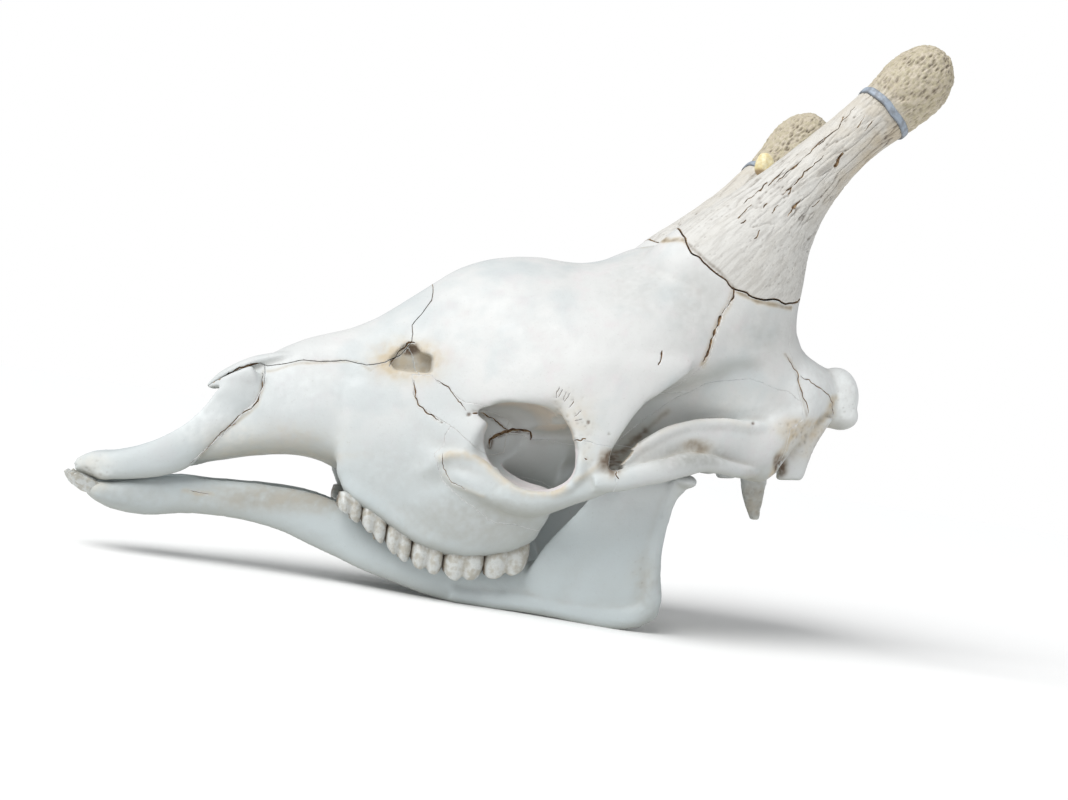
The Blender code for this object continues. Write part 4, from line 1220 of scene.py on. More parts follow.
@dataclass
class Studio:
    """The floor, the light and the camera at the photograph's viewpoint.

    Attributes:
        place: The camera's place in millimetres; right and ahead are its directions.
        lens: Focal length, and sensor the width of the film, in millimetres.
        wide: Width, and high the height, of the photograph in pixels.
        floor_reach: Half width of the floor in metres.
        sun: The direction that the broad light comes from.
        sky: Strength of the surroundings as a source of light.
    """
    place: Row = (-201.9, -1124.9, 140.1)
    right: Row = (0.9650, -0.2079, 0.1598)
    ahead: Row = (0.2051, 0.9781, 0.0340)
    lens: float = 44.05
    sensor: float = 36.0
    wide: float = 1068.0
    high: float = 800.0
    floor_reach: float = 40.0
    sun: Row = (-0.66, -0.48, 1.0)
    sky: float = 0.44

    def axes(self) -> Points:
        """Gives the camera's right, up and ahead as unit rows at right angles."""
        right, ahead = unit(np.array(self.right)), unit(np.array(self.ahead))
        return np.array([right, unit(np.cross(right, ahead)), ahead])

    def seen(self, points: Points) -> Points:
        """Finds where points lie in the photograph.

        Args:
            points: Rows of x, y and z.

        Returns:
            Rows of the distance from its left edge and from its top, in pixels.
        """
        across, rise, depth = ((points - np.array(self.place)) @ self.axes().T).T
        scale = self.lens / self.sensor * self.wide / depth
        return np.column_stack([self.wide / 2 + scale * across, self.high / 2 - scale * rise])

    def ray(self, u: float, v: float) -> Points:
        """Gives the direction from the camera to a place in the photograph.

        Args:
            u: Its distance from the left edge in pixels.
            v: Its distance from the top.

        Returns:
            The direction.
        """
        right, up, ahead = self.axes()
        scale = self.sensor / self.lens / self.wide
        return ahead + right * (u - self.wide / 2) * scale - up * (v - self.high / 2) * scale

    def facing(self, mesh: Mesh, side: Side) -> Points:
        """Measures how squarely points face a camera on this side: 1 where they do, -1 facing away."""
        way = unit(np.array(self.place) - mesh.points * side.flip)
        return np.sum(way * mesh.normals * side.flip, axis=1)

    def camera(self) -> None:
        """Sets up the camera."""
        data = bpy.data.cameras.new("camera")
        data.lens = self.lens
        data.sensor_width = self.sensor
        data.clip_start = 0.01
        data.clip_end = 100
        camera = placed("camera", data)
        right, up, ahead = self.axes()
        turn = Matrix((right, up, -ahead)).transposed()
        camera.matrix_world = Matrix.Translation((Vector(self.place) + ORIGIN_SHIFT) * MM) @ turn.to_4x4()
        bpy.context.scene.camera = camera

    def floor(self) -> None:
        """Lays the floor."""
        half = self.floor_reach
        mesh = bpy.data.meshes.new("floor")
        mesh.from_pydata([(-half, -half, 0), (half, -half, 0), (half, half, 0), (-half, half, 0)], [],
                         [(0, 1, 2, 3)])
        mesh.materials.append(FloorFinish().material())
        floor = placed("floor", mesh)

    def light(self, name: str, kind: str, place: Row, aim: Row, strength: float) -> bpy.types.Light:
        """Hangs a light.

        Args:
            name: Its name.
            kind: Its kind.
            place: Its place in metres.
            aim: The place that it points at.
            strength: Its strength.

        Returns:
            Its data.
        """
        data = bpy.data.lights.new(name, kind)
        data.energy = strength
        lamp = placed(name, data)
        lamp.location = place
        lamp.rotation_euler = (Vector(place) - Vector(aim)).to_track_quat("Z", "Y").to_euler()
        return data

    def backdrop(self) -> None:
        """Makes the surroundings white, and dimmer as a source of light."""
        world = bpy.data.worlds.new("surroundings")
        world.use_nodes = True
        tree = world.node_tree
        shown = tree.nodes["Background"]
        shown.inputs["Strength"].default_value = self.sky
        shown.inputs["Color"].default_value = (0.97, 0.985, 1.0, 1)
        white = tree.nodes.new("ShaderNodeBackground")
        white.inputs["Color"].default_value = (1, 1, 1, 1)
        path = tree.nodes.new("ShaderNodeLightPath")
        pick = tree.nodes.new("ShaderNodeMixShader")
        tree.links.new(path.outputs["Is Camera Ray"], pick.inputs[0])
        tree.links.new(shown.outputs[0], pick.inputs[1])
        tree.links.new(white.outputs[0], pick.inputs[2])
        tree.links.new(pick.outputs[0], tree.nodes["World Output"].inputs["Surface"])
        bpy.context.scene.world = world

    def build(self) -> None:
        """Builds all of it."""
        self.camera()
        self.floor()
        self.light("sky_light", "SUN", self.sun, (0, 0, 0), 2.7).angle = math.radians(45)
        key = self.light("key", "AREA", (-1.5, -1.9, 2.1), (0.03, 0, 0.22), 5)
        key.shape = "SQUARE"
        key.size = 1.4
        self.backdrop()
        bpy.context.scene.view_settings.view_transform = "Standard"


@dataclass(frozen=True)
class Crack:
    """A narrow cut in the bone; its width and depth are in millimetres.

    Attributes:
        line: Its points, in pixels from the photograph's left and top.
        both: Whether the other side has its like.
        beads: How much its width varies, as a share of it.
    """
    line: list[Row]
    width: float
    depth: float
    both: bool = True
    beads: float = 0.55


@dataclass(frozen=True, kw_only=True)
class Tints:
    """How strongly a mark takes each of the tints that are stored on the mesh: grey is painted shade and
    white is painted light.
    """
    dark: float = 0.0
    cream: float = 0.0
    grey: float = 0.0
    white: float = 0.0


@dataclass(frozen=True)
class Trace(Tints):
    """A soft groove, ridge or stain along a line.

    Attributes:
        line: Its points, in pixels from the photograph's left and top.
        width: Its half width in millimetres.
        depth: Its depth; a negative one is a ridge.
    """
    line: list[Row]
    width: float
    depth: float


@dataclass(frozen=True)
class Patch(Tints):
    """A soft oval patch; its middle and half sizes are in the photograph's pixels.

    Attributes:
        depth: Its depth in millimetres; a negative one is a swelling.
        porous: Depth of its pores.
    """
    u: float
    v: float
    wide: float
    high: float
    depth: float = 0.0
    porous: float = 0.0


SKULL_CRACKS = [
    Crack([(213, 383), (219, 379), (232, 372), (246, 366), (258, 363)], 1.3, 3),
    Crack([(200, 457), (208, 447), (216, 438), (225, 430), (235, 423)], 0.8, 1.5),
    Crack([(226, 428), (236, 419), (243, 413), (251, 409), (258, 400), (262, 388), (263, 373)], 0.8, 1.5),
    Crack([(389, 366), (392, 361), (400, 350), (409, 343), (416, 342)], 1.2, 3),
    Crack([(414, 380), (415, 388), (416, 400), (422, 408), (431, 415), (440, 421)], 1, 2),
    Crack([(437, 380), (448, 388), (457, 399), (466, 411)], 0.7, 2),
    Crack([(472, 413), (482, 413), (494, 419), (502, 425), (508, 431)], 1.2, 3),
    Crack([(490, 447), (490, 440), (494, 436), (502, 433), (512, 430), (524, 430), (531, 432), (531,
           440)], 2.2, 4),
    Crack([(442, 453), (443, 462), (446, 474), (452, 482), (466, 489)], 0.6, 1.2),
    Crack([(734, 288), (733, 296), (729, 304), (722, 314), (717, 326), (713, 338), (709, 350), (703,
           363)], 1.5, 3, beads=1.6),
    Crack([(662, 350), (661, 358), (658, 366)], 1.2, 2, False),
    Crack([(786, 355), (791, 364), (797, 374), (800, 388), (806, 402), (808, 414)], 0.9, 2),
    Crack([(800, 376), (814, 384), (829, 394), (832, 404), (833, 414)], 0.8, 2),
    Crack([(844, 116), (838, 129), (825, 138), (819, 145)], 0.6, 2.2, beads=0.9),
    Crack([(825, 155), (815, 165), (805, 172), (796, 182), (782, 195)], 0.65, 2.2, beads=0.9),
    Crack([(825, 136), (811, 151), (796, 165), (776, 182)], 0.45, 1.8, beads=1.1),
    Crack([(767, 182), (755, 194), (744, 204)], 0.6, 1.8, beads=0.9),
    Crack([(768, 202), (763, 208)], 0.7, 1.8),
    Crack([(746, 219), (741, 224)], 0.9, 1.8),
    Crack([(760, 230), (754, 239)], 0.5, 1.5),
    Crack([(792, 187), (788, 195)], 0.8, 1.8),
    Crack([(843, 153), (839, 160), (834, 167)], 1.6, 3, False),
    Crack([(855, 107), (848, 115), (841, 123)], 0.6, 1.5),
    Crack([(866, 115), (857, 127)], 0.5, 1.2),
    Crack([(872, 121), (865, 131)], 0.5, 1.2),
    Crack([(800, 200), (793, 209), (788, 216)], 0.6, 1.5),
    Crack([(820, 200), (812, 208)], 0.6, 1.5),
    Crack([(752, 204), (745, 211), (738, 218)], 0.6, 1.5),
    Crack([(778, 205), (771, 214)], 0.6, 1.2),
    Crack([(786, 168), (776, 177), (768, 186)], 0.5, 1.5),
    Crack([(574, 441), (580, 440), (587, 439)], 0.8, 1.5),
    Crack([(585, 459), (588, 459)], 1.4, 2, False),
    Crack([(617, 468), (616, 474), (619, 479)], 1.2, 2.5),
]
SKULL_TRACES = [
    Trace([(430, 300), (470, 308), (510, 316), (540, 320), (580, 310), (620, 290), (660, 270)], 9, 0.7),
    Trace([(704, 371), (732, 360), (759, 356), (786, 371)], 7, -0.8),
    Trace([(442, 459), (452, 454), (464, 453), (474, 457), (484, 463), (492, 472), (500, 480), (515, 489),
           (532, 494), (552, 494), (566, 488)], 3.2, -1.4, cream=0.75),
    # This groove's grey is painted shade.
    Trace([(448, 466), (458, 466), (470, 469), (482, 477), (494, 487)], 7, 2.2, grey=0.2),
    Trace([(444, 462), (446, 474), (454, 483), (468, 490), (484, 495)], 2.2, -0.8, cream=0.3),
    Trace([(622, 466), (638, 447), (669, 429), (696, 421), (726, 419), (748, 425)], 3, -0.5, cream=0.25),
    Trace([(578, 480), (590, 472), (600, 465)], 3, -0.6, cream=0.5),
    Trace([(773, 478), (781, 456), (789, 440), (800, 433), (814, 426), (830, 415), (833, 399)], 3.5, 0.5,
          cream=1, dark=0.14),
    Trace([(200, 457), (216, 439), (225, 430), (241, 417), (257, 405), (262, 391), (263, 371)], 1.6, 0.3,
          cream=0.5, dark=0.14),
    Trace([(263, 371), (303, 363), (326, 362), (357, 361), (371, 371), (378, 365), (387, 363)], 1.5, 0.3,
          cream=0.5, dark=0.25),
    Trace([(643, 245), (669, 240), (684, 240), (702, 258), (721, 273), (734, 288), (758, 301), (790,
           307)], 2, 0.6, cream=1.3, dark=0.45),
    Trace([(734, 288), (728, 305), (718, 325), (712, 340), (703, 365)], 2.6, 0.4, cream=0.8, dark=0.3),
    Trace([(472, 412), (495, 420), (507, 429)], 1.8, 0.4, dark=0.5),
    Trace([(490, 446), (493, 437), (512, 431), (530, 432)], 2.4, 0.5, dark=0.75),
    Trace([(533, 438), (545, 440), (560, 440), (576, 438)], 2.5, -0.8, dark=0.15),
    Trace([(786, 355), (797, 374), (807, 415)], 1.6, 0.3, dark=0.35, cream=0.4),
    Trace([(607, 466), (618, 456), (632, 444), (645, 432)], 5.5, 0.4, dark=0.6, cream=0.5),
    Trace([(645, 432), (655, 423), (668, 412)], 3, 0.4, dark=0.35, cream=0.3),
    Trace([(414, 381), (415, 396), (420, 407), (440, 422)], 1.5, 0.3, dark=0.2, cream=0.3),
    Trace([(840, 158), (830, 168), (820, 172)], 5, 0.8, dark=0.3, cream=1),
]
# Short notches that radiate from the eye socket's upper back edge.
SKULL_CRACKS += [
    Crack([(556 + 2.2 * i, 397 + 0.3 * i * i), (559 + 2.6 * i + i % 3, 387 + 0.37 * i * i + 2 * (i % 2))],
          0.36, 0.9, beads=1.2)
    for i in (0, 1, 3, 4, 6, 8, 9)
]
JAW_CRACKS = [
    Crack([(190, 491), (198, 493), (208, 494)], 0.4, 1.2),
]
JAW_TRACES = [
    Trace([(96, 497), (130, 503), (170, 508), (220, 506)], 6, -0.4),
    Trace([(560, 600), (590, 560), (612, 530), (630, 505)], 9, 1),
    Trace([(645, 600), (655, 575), (657, 545), (660, 520)], 4, -0.6),
    Trace([(184, 490), (198, 493), (212, 495)], 2.2, 0.4, cream=0.6, dark=0.2),
]
# Grey in these patches is painted shade.
JAW_PATCHES = [
    Patch(640, 575, 14, 20, 0.4, 0.2, cream=0.12),
    Patch(88, 482, 22, 10, 0, 0.3, cream=0.4),
    Patch(300, 492, 90, 6, cream=0.15),
    Patch(300, 498, 110, 15, grey=1, cream=0.25),
    Patch(130, 495, 50, 14, grey=0.4),
    Patch(648, 590, 16, 34, grey=0.5),
]
# Grey in these patches is painted shade and white is painted light.
SKULL_PATCHES = [
    Patch(575, 418, 26, 22, 0, 0.7, cream=0.4),
    Patch(566, 398, 15, 16, 0, 0.7, cream=0.25),
    Patch(587, 452, 10, 14, 0.3, 0.6, cream=0.35),
    Patch(628, 446, 22, 14, 0, 0.35, cream=0.3),
    Patch(408, 361, 34, 20, 0, 0.4, cream=1.5, dark=0.22),
    Patch(412, 350, 10, 7, dark=1),
    Patch(225, 440, 30, 16, cream=0.25),
    Patch(310, 458, 30, 10, cream=0.45),
    Patch(92, 466, 24, 14, 0, 1.3, cream=0.3, dark=0.08, white=0.5),
    Patch(104, 475, 9, 5, -1.6),
    Patch(588, 422, 2.2, 2.2, 0.6, dark=0.9),
    Patch(609, 433, 1.8, 2, 0.5, dark=0.7),
    Patch(442, 423, 1.8, 1.8, 0.5, dark=0.7),
    Patch(468, 415, 2.6, 2.2, 0.8, dark=1),
    Patch(753, 423, 2.2, 2.2, 0.8, dark=0.9),
    Patch(803, 440, 22, 20, 0.8, 0.5, cream=0.5),
    Patch(803, 430, 26, 13, 0, 1.5, cream=0.9),
    Patch(781, 466, 7, 13, 2.5, dark=1, cream=0.9),
    Patch(754, 500, 15, 24, 0, 1.1, cream=0.35, grey=1, dark=0.14),
    Patch(845, 405, 14, 24, 0, 0.3, cream=0.1),
    Patch(697, 447, 15, 7, 1.5, cream=0.9, dark=0.5),
    Patch(612, 462, 13, 15, 0, 0.5, cream=0.8, dark=0.85),
    Patch(470, 525, 90, 22, cream=0.06),
    Patch(280, 455, 70, 7, cream=0.4),
    Patch(725, 400, 50, 20, cream=0.12),
    Patch(270, 438, 70, 16, cream=0.3),
    Patch(215, 425, 40, 26, white=0.65),
    Patch(285, 388, 60, 28, white=0.35),
    Patch(812, 392, 26, 32, white=0.6),
    Patch(850, 395, 28, 42, white=0.9),
    Patch(748, 416, 42, 20, white=0.5),
    Patch(688, 457, 44, 13, grey=0.8),
    Patch(640, 288, 32, 34, grey=0.3),
    Patch(692, 305, 28, 42, grey=0.35),
    Patch(762, 335, 34, 28, grey=0.3),
    Patch(475, 520, 90, 30, grey=0.55),
    Patch(400, 470, 60, 34, grey=0.25),
]


@dataclass
class Marks:
    """Lays the photograph's cracks, traces and patches on the bone, on both sides.

    Attributes:
        clay: The maker of solids.
        studio: The viewpoint that they are placed from.
        cracks: The cracks.
        traces: The traces.
        patches: The patches.
        pixel: Size of a pixel at the skull, in millimetres.
        shake: How far the marks wander on each side, in pixels.
        jump: Distance on the bone over which a crack breaks off, in millimetres.
        step: Distance between the places of a crack, in pixels.
        wander: How far the places stray from its line, in pixels.
    """
    clay: Clay
    studio: Studio
    cracks: list[Crack]
    traces: list[Trace]
    patches: list[Patch]
    pixel: float = 0.86
    shake: dict[Side, float] = field(default_factory=lambda: {Side.LEFT: 2.0, Side.RIGHT: 5.0})
    jump: float = 6.0
    step: float = 1.6
    wander: float = 1.1

    def span(self, spots: Points, line: Sequence[Row]) -> Points:
        """Measures how far places are from a line.

        Args:
            spots: Rows of two pixel distances.
            line: The line's points.

        Returns:
            The distances in pixels.
        """
        nearest = np.full(len(spots), 1e9)
        for start, end in zip(np.array(line[:-1], float), np.array(line[1:], float)):
            run = end - start
            part = faded(((spots - start) @ run) / (run @ run))
            nearest = np.minimum(nearest, np.linalg.norm(spots - start - part[:, None] * run, axis=1))
        return nearest

    @staticmethod
    def stain(tints: dict[str, Points], where: Points, mark: Tints, share: Points) -> None:
        """Raises each tint at some points to what the mark gives them, where it is lower; the grey tint is
        painted shade and the white tint painted light.
        """
        for name, values in tints.items():
            values[where] = np.maximum(values[where], getattr(mark, name) * share)

    def work(self, mesh: Mesh) -> None:
        """Works the traces and patches into a mesh, and stores the tints.

        Args:
            mesh: The mesh.
        """
        count = len(mesh.points)
        heights = np.zeros(count)
        tints = {tint.name: np.zeros(count) for tint in fields(Tints)}
        for side in Side:
            shown = np.flatnonzero((mesh.points[:, 1] * side.value > 2)
                                   & (self.studio.facing(mesh, side) > 0.05))
            points = mesh.points[shown]
            spots = self.studio.seen(points * side.flip)
            shake = self.shake[side]
            spots[:, 0] += shake * Grain(16, 101 + side.value).at(points)
            spots[:, 1] += shake * Grain(16, 111 + side.value).at(points)
            fleck = 0.55 + 0.6 * Grain(4, 121).layered(points)
            for trace in self.traces:
                line = np.array(trace.line, float)
                reach = 2.5 * trace.width / self.pixel
                inside = (spots > line.min(0) - reach) & (spots < line.max(0) + reach)
                near = np.flatnonzero(np.all(inside, axis=1))
                share = np.exp(-(self.span(spots[near], trace.line) * self.pixel / trace.width) ** 2)
                heights[shown[near]] -= trace.depth * share
                self.stain(tints, shown[near], trace, share * np.clip(fleck[near] + 0.35, 0, 1.2))
            for patch in self.patches:
                far = (((spots[:, 0] - patch.u) / patch.wide) ** 2
                       + ((spots[:, 1] - patch.v) / patch.high) ** 2)
                near = np.flatnonzero(far < 4)
                share = np.exp(-far[near] ** 1.5)
                heights[shown[near]] -= patch.depth * share
                if patch.porous:
                    pores = faded(1 - Grain(4.5, 131).pits(points[near]) / 0.42)
                    heights[shown[near]] -= patch.porous * share * pores
                    self.stain(tints, shown[near], Tints(dark=0.5), share * pores)
                self.stain(tints, shown[near], patch, share * np.clip(fleck[near] + 0.3, 0, 1.2))
        mesh.raise_by(heights)
        for name, values in tints.items():
            mesh.keep(name, faded(values))

    def blades(self, target: Object) -> list[Solid]:
        """Makes the thin solids that cut the cracks.

        Args:
            target: What they cut.

        Returns:
            The solids.
        """
        surface = surface_of(target)
        solids = []
        for number, crack in enumerate(self.cracks):
            for side in Side if crack.both else (Side.LEFT,):
                start = Vector(self.studio.place * side.flip) * MM
                hits = []
                for spot in self.stepped(crack.line, number * 10 + side.value):
                    place, normal, _, _ = surface.ray_cast(start, Vector(self.studio.ray(*spot) * side.flip))
                    if place is not None:
                        hits.append((np.array(place) / MM, np.array(normal)))
                solids += self.blade(hits, crack, number)
        return solids

    def cut(self, target: Object) -> None:
        """Cuts the cracks in a mesh, and drops the chips that come loose."""
        self.clay.cut(target, self.blades(target), Cut.AWAY, Seam.DARK.value)
        self.clay.largest(target)

    def stepped(self, line: Sequence[Row], seed: int) -> Points:
        """Walks along a line in short steps that wander a little.

        Args:
            line: Its points.
            seed: Which way it wanders.

        Returns:
            The places passed.
        """
        out = []
        for start, end in zip(np.array(line[:-1], float), np.array(line[1:], float)):
            for t in np.arange(0, 1, self.step / max(self.step, np.linalg.norm(end - start))):
                out.append(start + (end - start) * t)
        out.append(np.array(line[-1], float))
        out = np.array(out)
        spots = np.column_stack([out, np.zeros(len(out))])
        stray = np.column_stack([Grain(4.0, first + seed).at(spots) for first in (200, 300)])
        return out + self.wander * stray

    def blade(self, hits: list[tuple[Points, Points]], crack: Crack, seed: int) -> list[Solid]:
        """Makes one thin solid along places on the surface.

        Args:
            hits: The places, with the surface's direction there.
            crack: The crack.
            seed: Which way its width varies.

        Returns:
            The solid, or none where too little of the line lies on the surface.
        """
        runs, last = [[]], None
        for hit in hits:
            if last is not None and np.linalg.norm(hit[0] - last) > self.jump:
                runs.append([])
            runs[-1].append(hit)
            last = hit[0]
        solids = []
        for run in runs:
            if len(run) < 2:
                continue
            path = np.array([hit[0] for hit in run])
            outs = np.array([hit[1] for hit in run])
            for _ in range(2):
                outs = (np.vstack([outs[:1], outs[:-1]]) + outs + np.vstack([outs[1:], outs[-1:]])) / 3
            outs = unit(outs)
            across = unit(np.cross(outs, unit(np.gradient(path, axis=0))))
            way = np.linspace(0, 1, len(run))
            taper = faded(np.minimum(way, 1 - way) * 6 + 0.25)
            vary = 1 + crack.beads * Grain(3.5, 400 + seed).at(path)
            half = np.maximum(crack.width / 2 * taper * vary, 0.12)[:, None]
            deep = (crack.depth * taper)[:, None]
            above, below = path + outs * 1.2, path - outs * deep / 2
            solids.append(skinned(np.stack([above - across * half * 1.3, above + across * half * 1.3,
                                            below + across * half * 0.8, path - outs * deep,
                                            below - across * half * 0.8], axis=1)))
        return solids


@dataclass(frozen=True)
class Finishes:
    """The finishes that the pieces share, built once."""
    bone: Material
    horn: Material
    pale_wall: Material
    dark_wall: Material
    enamel: Material
    strap: Material
    resin: Material

    @classmethod
    def built(cls) -> "Finishes":
        """Builds them."""
        pale_wall = WallFinish("pale_seam", (0.66, 0.62, 0.54, 1), (0.45, 0.40, 0.32, 1))
        dark_wall = WallFinish("dark_seam", (0.40, 0.28, 0.16, 1), (0.17, 0.105, 0.06, 1))
        strap = WornFinish("strap", (0.33, 0.385, 0.455, 1), (0.23, 0.255, 0.29, 1), (0.08, 0.075, 0.07, 1),
                           7, 0.62, (1.5, 3, 0.2), (0.35, 0.6))
        resin = WornFinish("resin", (0.84, 0.76, 0.50, 1), (0.74, 0.62, 0.32, 1), (0.34, 0.24, 0.13, 1),
                           4, 0.64, (2.5, 4, 0.6), (0.3, 0.5))
        return cls(*(finish.material() for finish in (BoneFinish(), HornFinish(), pale_wall, dark_wall,
                                                      EnamelFinish(), strap, resin)))

    def dress_bone(self, obj: Object, horn: bool = False) -> None:
        """Gives a bone its materials: the surface's, and those of its seams' walls.

        Args:
            obj: The bone.
            horn: Whether it is of horn bone.
        """
        materials = (self.horn if horn else self.bone, self.pale_wall, self.dark_wall)
        for i, material in enumerate(materials):
            if i < len(obj.data.materials):
                obj.data.materials[i] = material
            else:
                obj.data.materials.append(material)


@dataclass
class Maker:
    """Makes some of the pieces.

    Attributes:
        clay: The maker of solids.
        finishes: The finishes.
    """
    clay: Clay
    finishes: Finishes


@dataclass
class BonePlan:
    """How one bone, or a pair, is parted from the whole skull.

    Attributes:
        name: Its name in the CAD model.
        outline: Its side outline.
        inner: Distance of a pair's inner ends from the middle plane, or none for a single bone.
        gap: Width of its seam.
        seam: What shows in the seam.
        horn: Whether it is of horn bone.
    """
    name: str
    outline: Outline
    inner: float | None = None
    gap: float = 0.04
    seam: Seam = Seam.PALE
    horn: bool = False

    def spans(self) -> dict[str, tuple[float, float]]:
        """Gives the range of y of each of its bones, by the end of its name."""
        if self.inner is None:
            return {"": (-BEYOND, BEYOND)}
        return {"_left": (-BEYOND, -self.inner), "_right": (self.inner, BEYOND)}


@dataclass
class Cranium(Maker):
    """The upper skull, parted into its bones.

    Attributes:
        studio: The viewpoint that the photograph's marks are placed from.
        orbit: Middle of the left eye socket's opening.
        orbit_reach: Distance from it within which the bone counts as inside the socket.
        orbit_sides: Distances from the middle plane between which it does.
        soft: How far the fused masses, and then the details, are softened.
        rim_from: Thickness from which the rim stands proud of the bone.
        knuckles: Middles and radii of the left neck knuckle's two swellings.
        horn_shorter: How far the right knob stands in front of and below the left one.
        bend_from: Height from which the right horn differs.
        bend_over: Height over which the difference grows.
        plans: How the bones are parted, in order.
    """
    studio: Studio
    orbit: Row = (19, -102, 139)
    orbit_reach: float = 43.0
    orbit_sides: Row = (12, 118)
    soft: Row = (6, 2.5)
    rim_from: float = 2.3
    knuckles: tuple[tuple[Row, Row], ...] = (
        ((301, -27, 225), (23, 18, 28)), ((309, -27, 211), (17, 16, 14)))
    horn_shorter: Row = (26, 0, 26)
    bend_from: float = 380.0
    bend_over: float = 120.0
    plans: list[BonePlan] = field(default_factory=lambda: [
        BonePlan("ossicone", Outline(HORN_SUTURE, 3.2, 5, 40), 0, 1.4, Seam.DARK, True),
        BonePlan("nasal", Outline(NASAL_OUTLINE, 1.0, 15), 0, 0.5, Seam.DARK),
        BonePlan("premaxilla", Outline(PREMAXILLA_OUTLINE, 1.2, 25), 0, 0.4, Seam.DARK),
        BonePlan("occipital", Outline(OCCIPITAL_OUTLINE, 1.4, 35)),
        BonePlan("lacrimal", Outline(LACRIMAL_OUTLINE, 1.6, 45), 30, 0.1),
        BonePlan("zygomatic", Outline(ZYGOMATIC_OUTLINE, 1.6, 55), 74),
        BonePlan("temporal", Outline(TEMPORAL_OUTLINE, 1.4, 65), 50),
        BonePlan("maxilla", Outline(MAXILLA_OUTLINE, 1.2, 75), 0),
        BonePlan("frontal", Outline(FRONTAL_OUTLINE, 2.0, 85)),
        BonePlan("parietal", Outline(PARIETAL_OUTLINE, 1.4, 95)),
    ])

    def opening(self) -> Points:
        """Gives the eye socket's outline as a smooth closed curve: rows of x, z and the rim's thickness."""
        corners = ORBIT_OUTLINE
        return spline(corners[-2:] + corners + corners[:3], 2)[4:2 * len(corners) + 4]

    def rim(self) -> Solid:
        """Makes the raised part of the left eye socket's rim, from its upper back round to its front."""
        curve = np.roll(self.opening(), -24, axis=0)
        run = unit(np.gradient(curve[:, :2], axis=0))
        out = np.column_stack([run[:, 1], -run[:, 0]])
        middle = np.array([self.orbit[0], self.orbit[2]])
        out *= np.sign(np.sum(out * (curve[:, :2] - middle), axis=1))[:, None]
        uneven = Grain(8, 71).at(np.column_stack([curve[:, 0], np.zeros(len(curve)), curve[:, 1]]))
        thick = curve[:, 2] + 0.4 * uneven
        place = curve[:, :2] + out * (thick * 0.75 - 0.7 * uneven)[:, None]
        y = self.orbit[1] + 3 - 0.46 * (place[:, 0] - self.orbit[0])
        stations = np.column_stack([place[:, 0], y, place[:, 1], thick, thick])
        stations = stations[curve[:, 2] > self.rim_from]
        ends = np.minimum(np.arange(len(stations)), np.arange(len(stations))[::-1])
        full = faded(0.35 + ends / 6)
        stations[:, 3:] *= full[:, None]
        stations[:, 1] += 6 * (1 - full)
        return bar(stations, sides=20)

    def socket(self) -> Solid:
        """Makes the hollow of the left eye socket."""
        curve = self.opening()[:, :2] - np.array([18.0, 138.5])
        rings = []
        for x, z, y, size in spline(ORBIT_DEPTHS, 4):
            rings.append(np.column_stack([x - 2 + curve[:, 0] * size, np.full(len(curve), y),
                                          z - 0.5 + curve[:, 1] * size]))
        return skinned(rings)

    def right_horn(self) -> Points:
        """Gives the shorter right horn's stations, mirrored to the left side."""
        rows = np.array(HORN, float)
        part = faded((rows[:, 2:3] - self.bend_from) / self.bend_over)
        rows[:, :6] -= part * np.array(self.horn_shorter * 2)
        return rows

    def whole(self) -> Object:
        """Fuses the forms of the skull into one skin."""
        masses = [block(FACE), block(CROWN), block(BRAINCASE), bar(SKULL_BASE)]
        for mass in (block(CHEEK), block(EAR_REGION), bar(MALAR), bar(ALVEOLUS), bar(LACRIMAL_SWELL),
                     plate(EYE_BAR), bar(JUGAL_RIDGE)):
            masses += both(mass)
        masses += [plate(HORN, sides=48), mirrored(plate(self.right_horn(), sides=48))]
        skull = self.clay.made("skull", masses)
        self.clay.fused(skull, self.soft[0], self.clay.coarse)
        hollows = [block(NOSE), bar(MARROW_HOLE)]
        hollows += both(self.socket()) + both(bar(TEMPORAL_PASSAGE)) + both(bar(BROW_HOLLOW))
        hollows += both(Outline(FISSURE_OUTLINE).space(*FISSURE_SPAN, 0))
        self.clay.cut(skull, hollows, Cut.AWAY)
        details = [bar(EAR_HOOK), mirrored(bar(BROKEN_HOOK))]
        bars = (PREMAXILLA, NOSE_EDGE, PALATE_PROCESS, NASAL, ARCH_ROLL, ARCH_PLATE, ARCH_CREST)
        for detail in (self.rim(), *map(bar, bars), plate(PAROCCIPITAL, power=3), bar(PTERYGOID),
                       *(ball(*knuckle) for knuckle in self.knuckles)):
            details += both(detail)
        self.clay.add(skull, details)
        self.clay.fused(skull, self.soft[1], self.clay.fine)
        self.clay.largest(skull)
        return skull

    def marks(self) -> Marks:
        """Gives the marks of the upper skull."""
        return Marks(self.clay, self.studio, SKULL_CRACKS, SKULL_TRACES, SKULL_PATCHES)

    def sculpt(self, skull: Object) -> None:
        """Works the surface's relief and stores where it is stained, and where it takes painted shade: the
        top of the eye socket, hollows, low parts and faces turned down.

        Args:
            skull: The whole skull.
        """
        mesh = Mesh(skull)
        mesh.raise_by(0.7 * Grain(38, 11).layered(mesh.points) + 0.14 * Grain(7, 21).layered(mesh.points))
        self.marks().work(Mesh(skull))
        mesh = Mesh(skull)
        side = np.abs(mesh.points[:, 1])
        reach = np.hypot(mesh.points[:, 0] - self.orbit[0], (mesh.points[:, 2] - self.orbit[2]) * 1.02)
        outward = mesh.normals[:, 1] * np.sign(mesh.points[:, 1])
        low, high = self.orbit_sides
        inside = faded((self.orbit_reach - reach) / 5) * faded((side - low) / 8) * faded((high - side) / 6)
        inside *= faded((side < 84) + (0.35 - outward) / 0.3)
        # Painted shade: the top of the eye socket, under the brow, is darker and brownish.
        roof_shade = inside * faded((mesh.points[:, 2] - self.orbit[2] - 2) / 9)
        mesh.keep("cream", np.maximum(mesh.kept("cream"), roof_shade))
        mesh.keep("dark", np.maximum(mesh.kept("dark"), 0.13 * roof_shade))
        mesh.keep("lilac", inside - 0.75 * roof_shade)
        shade_surface(mesh)

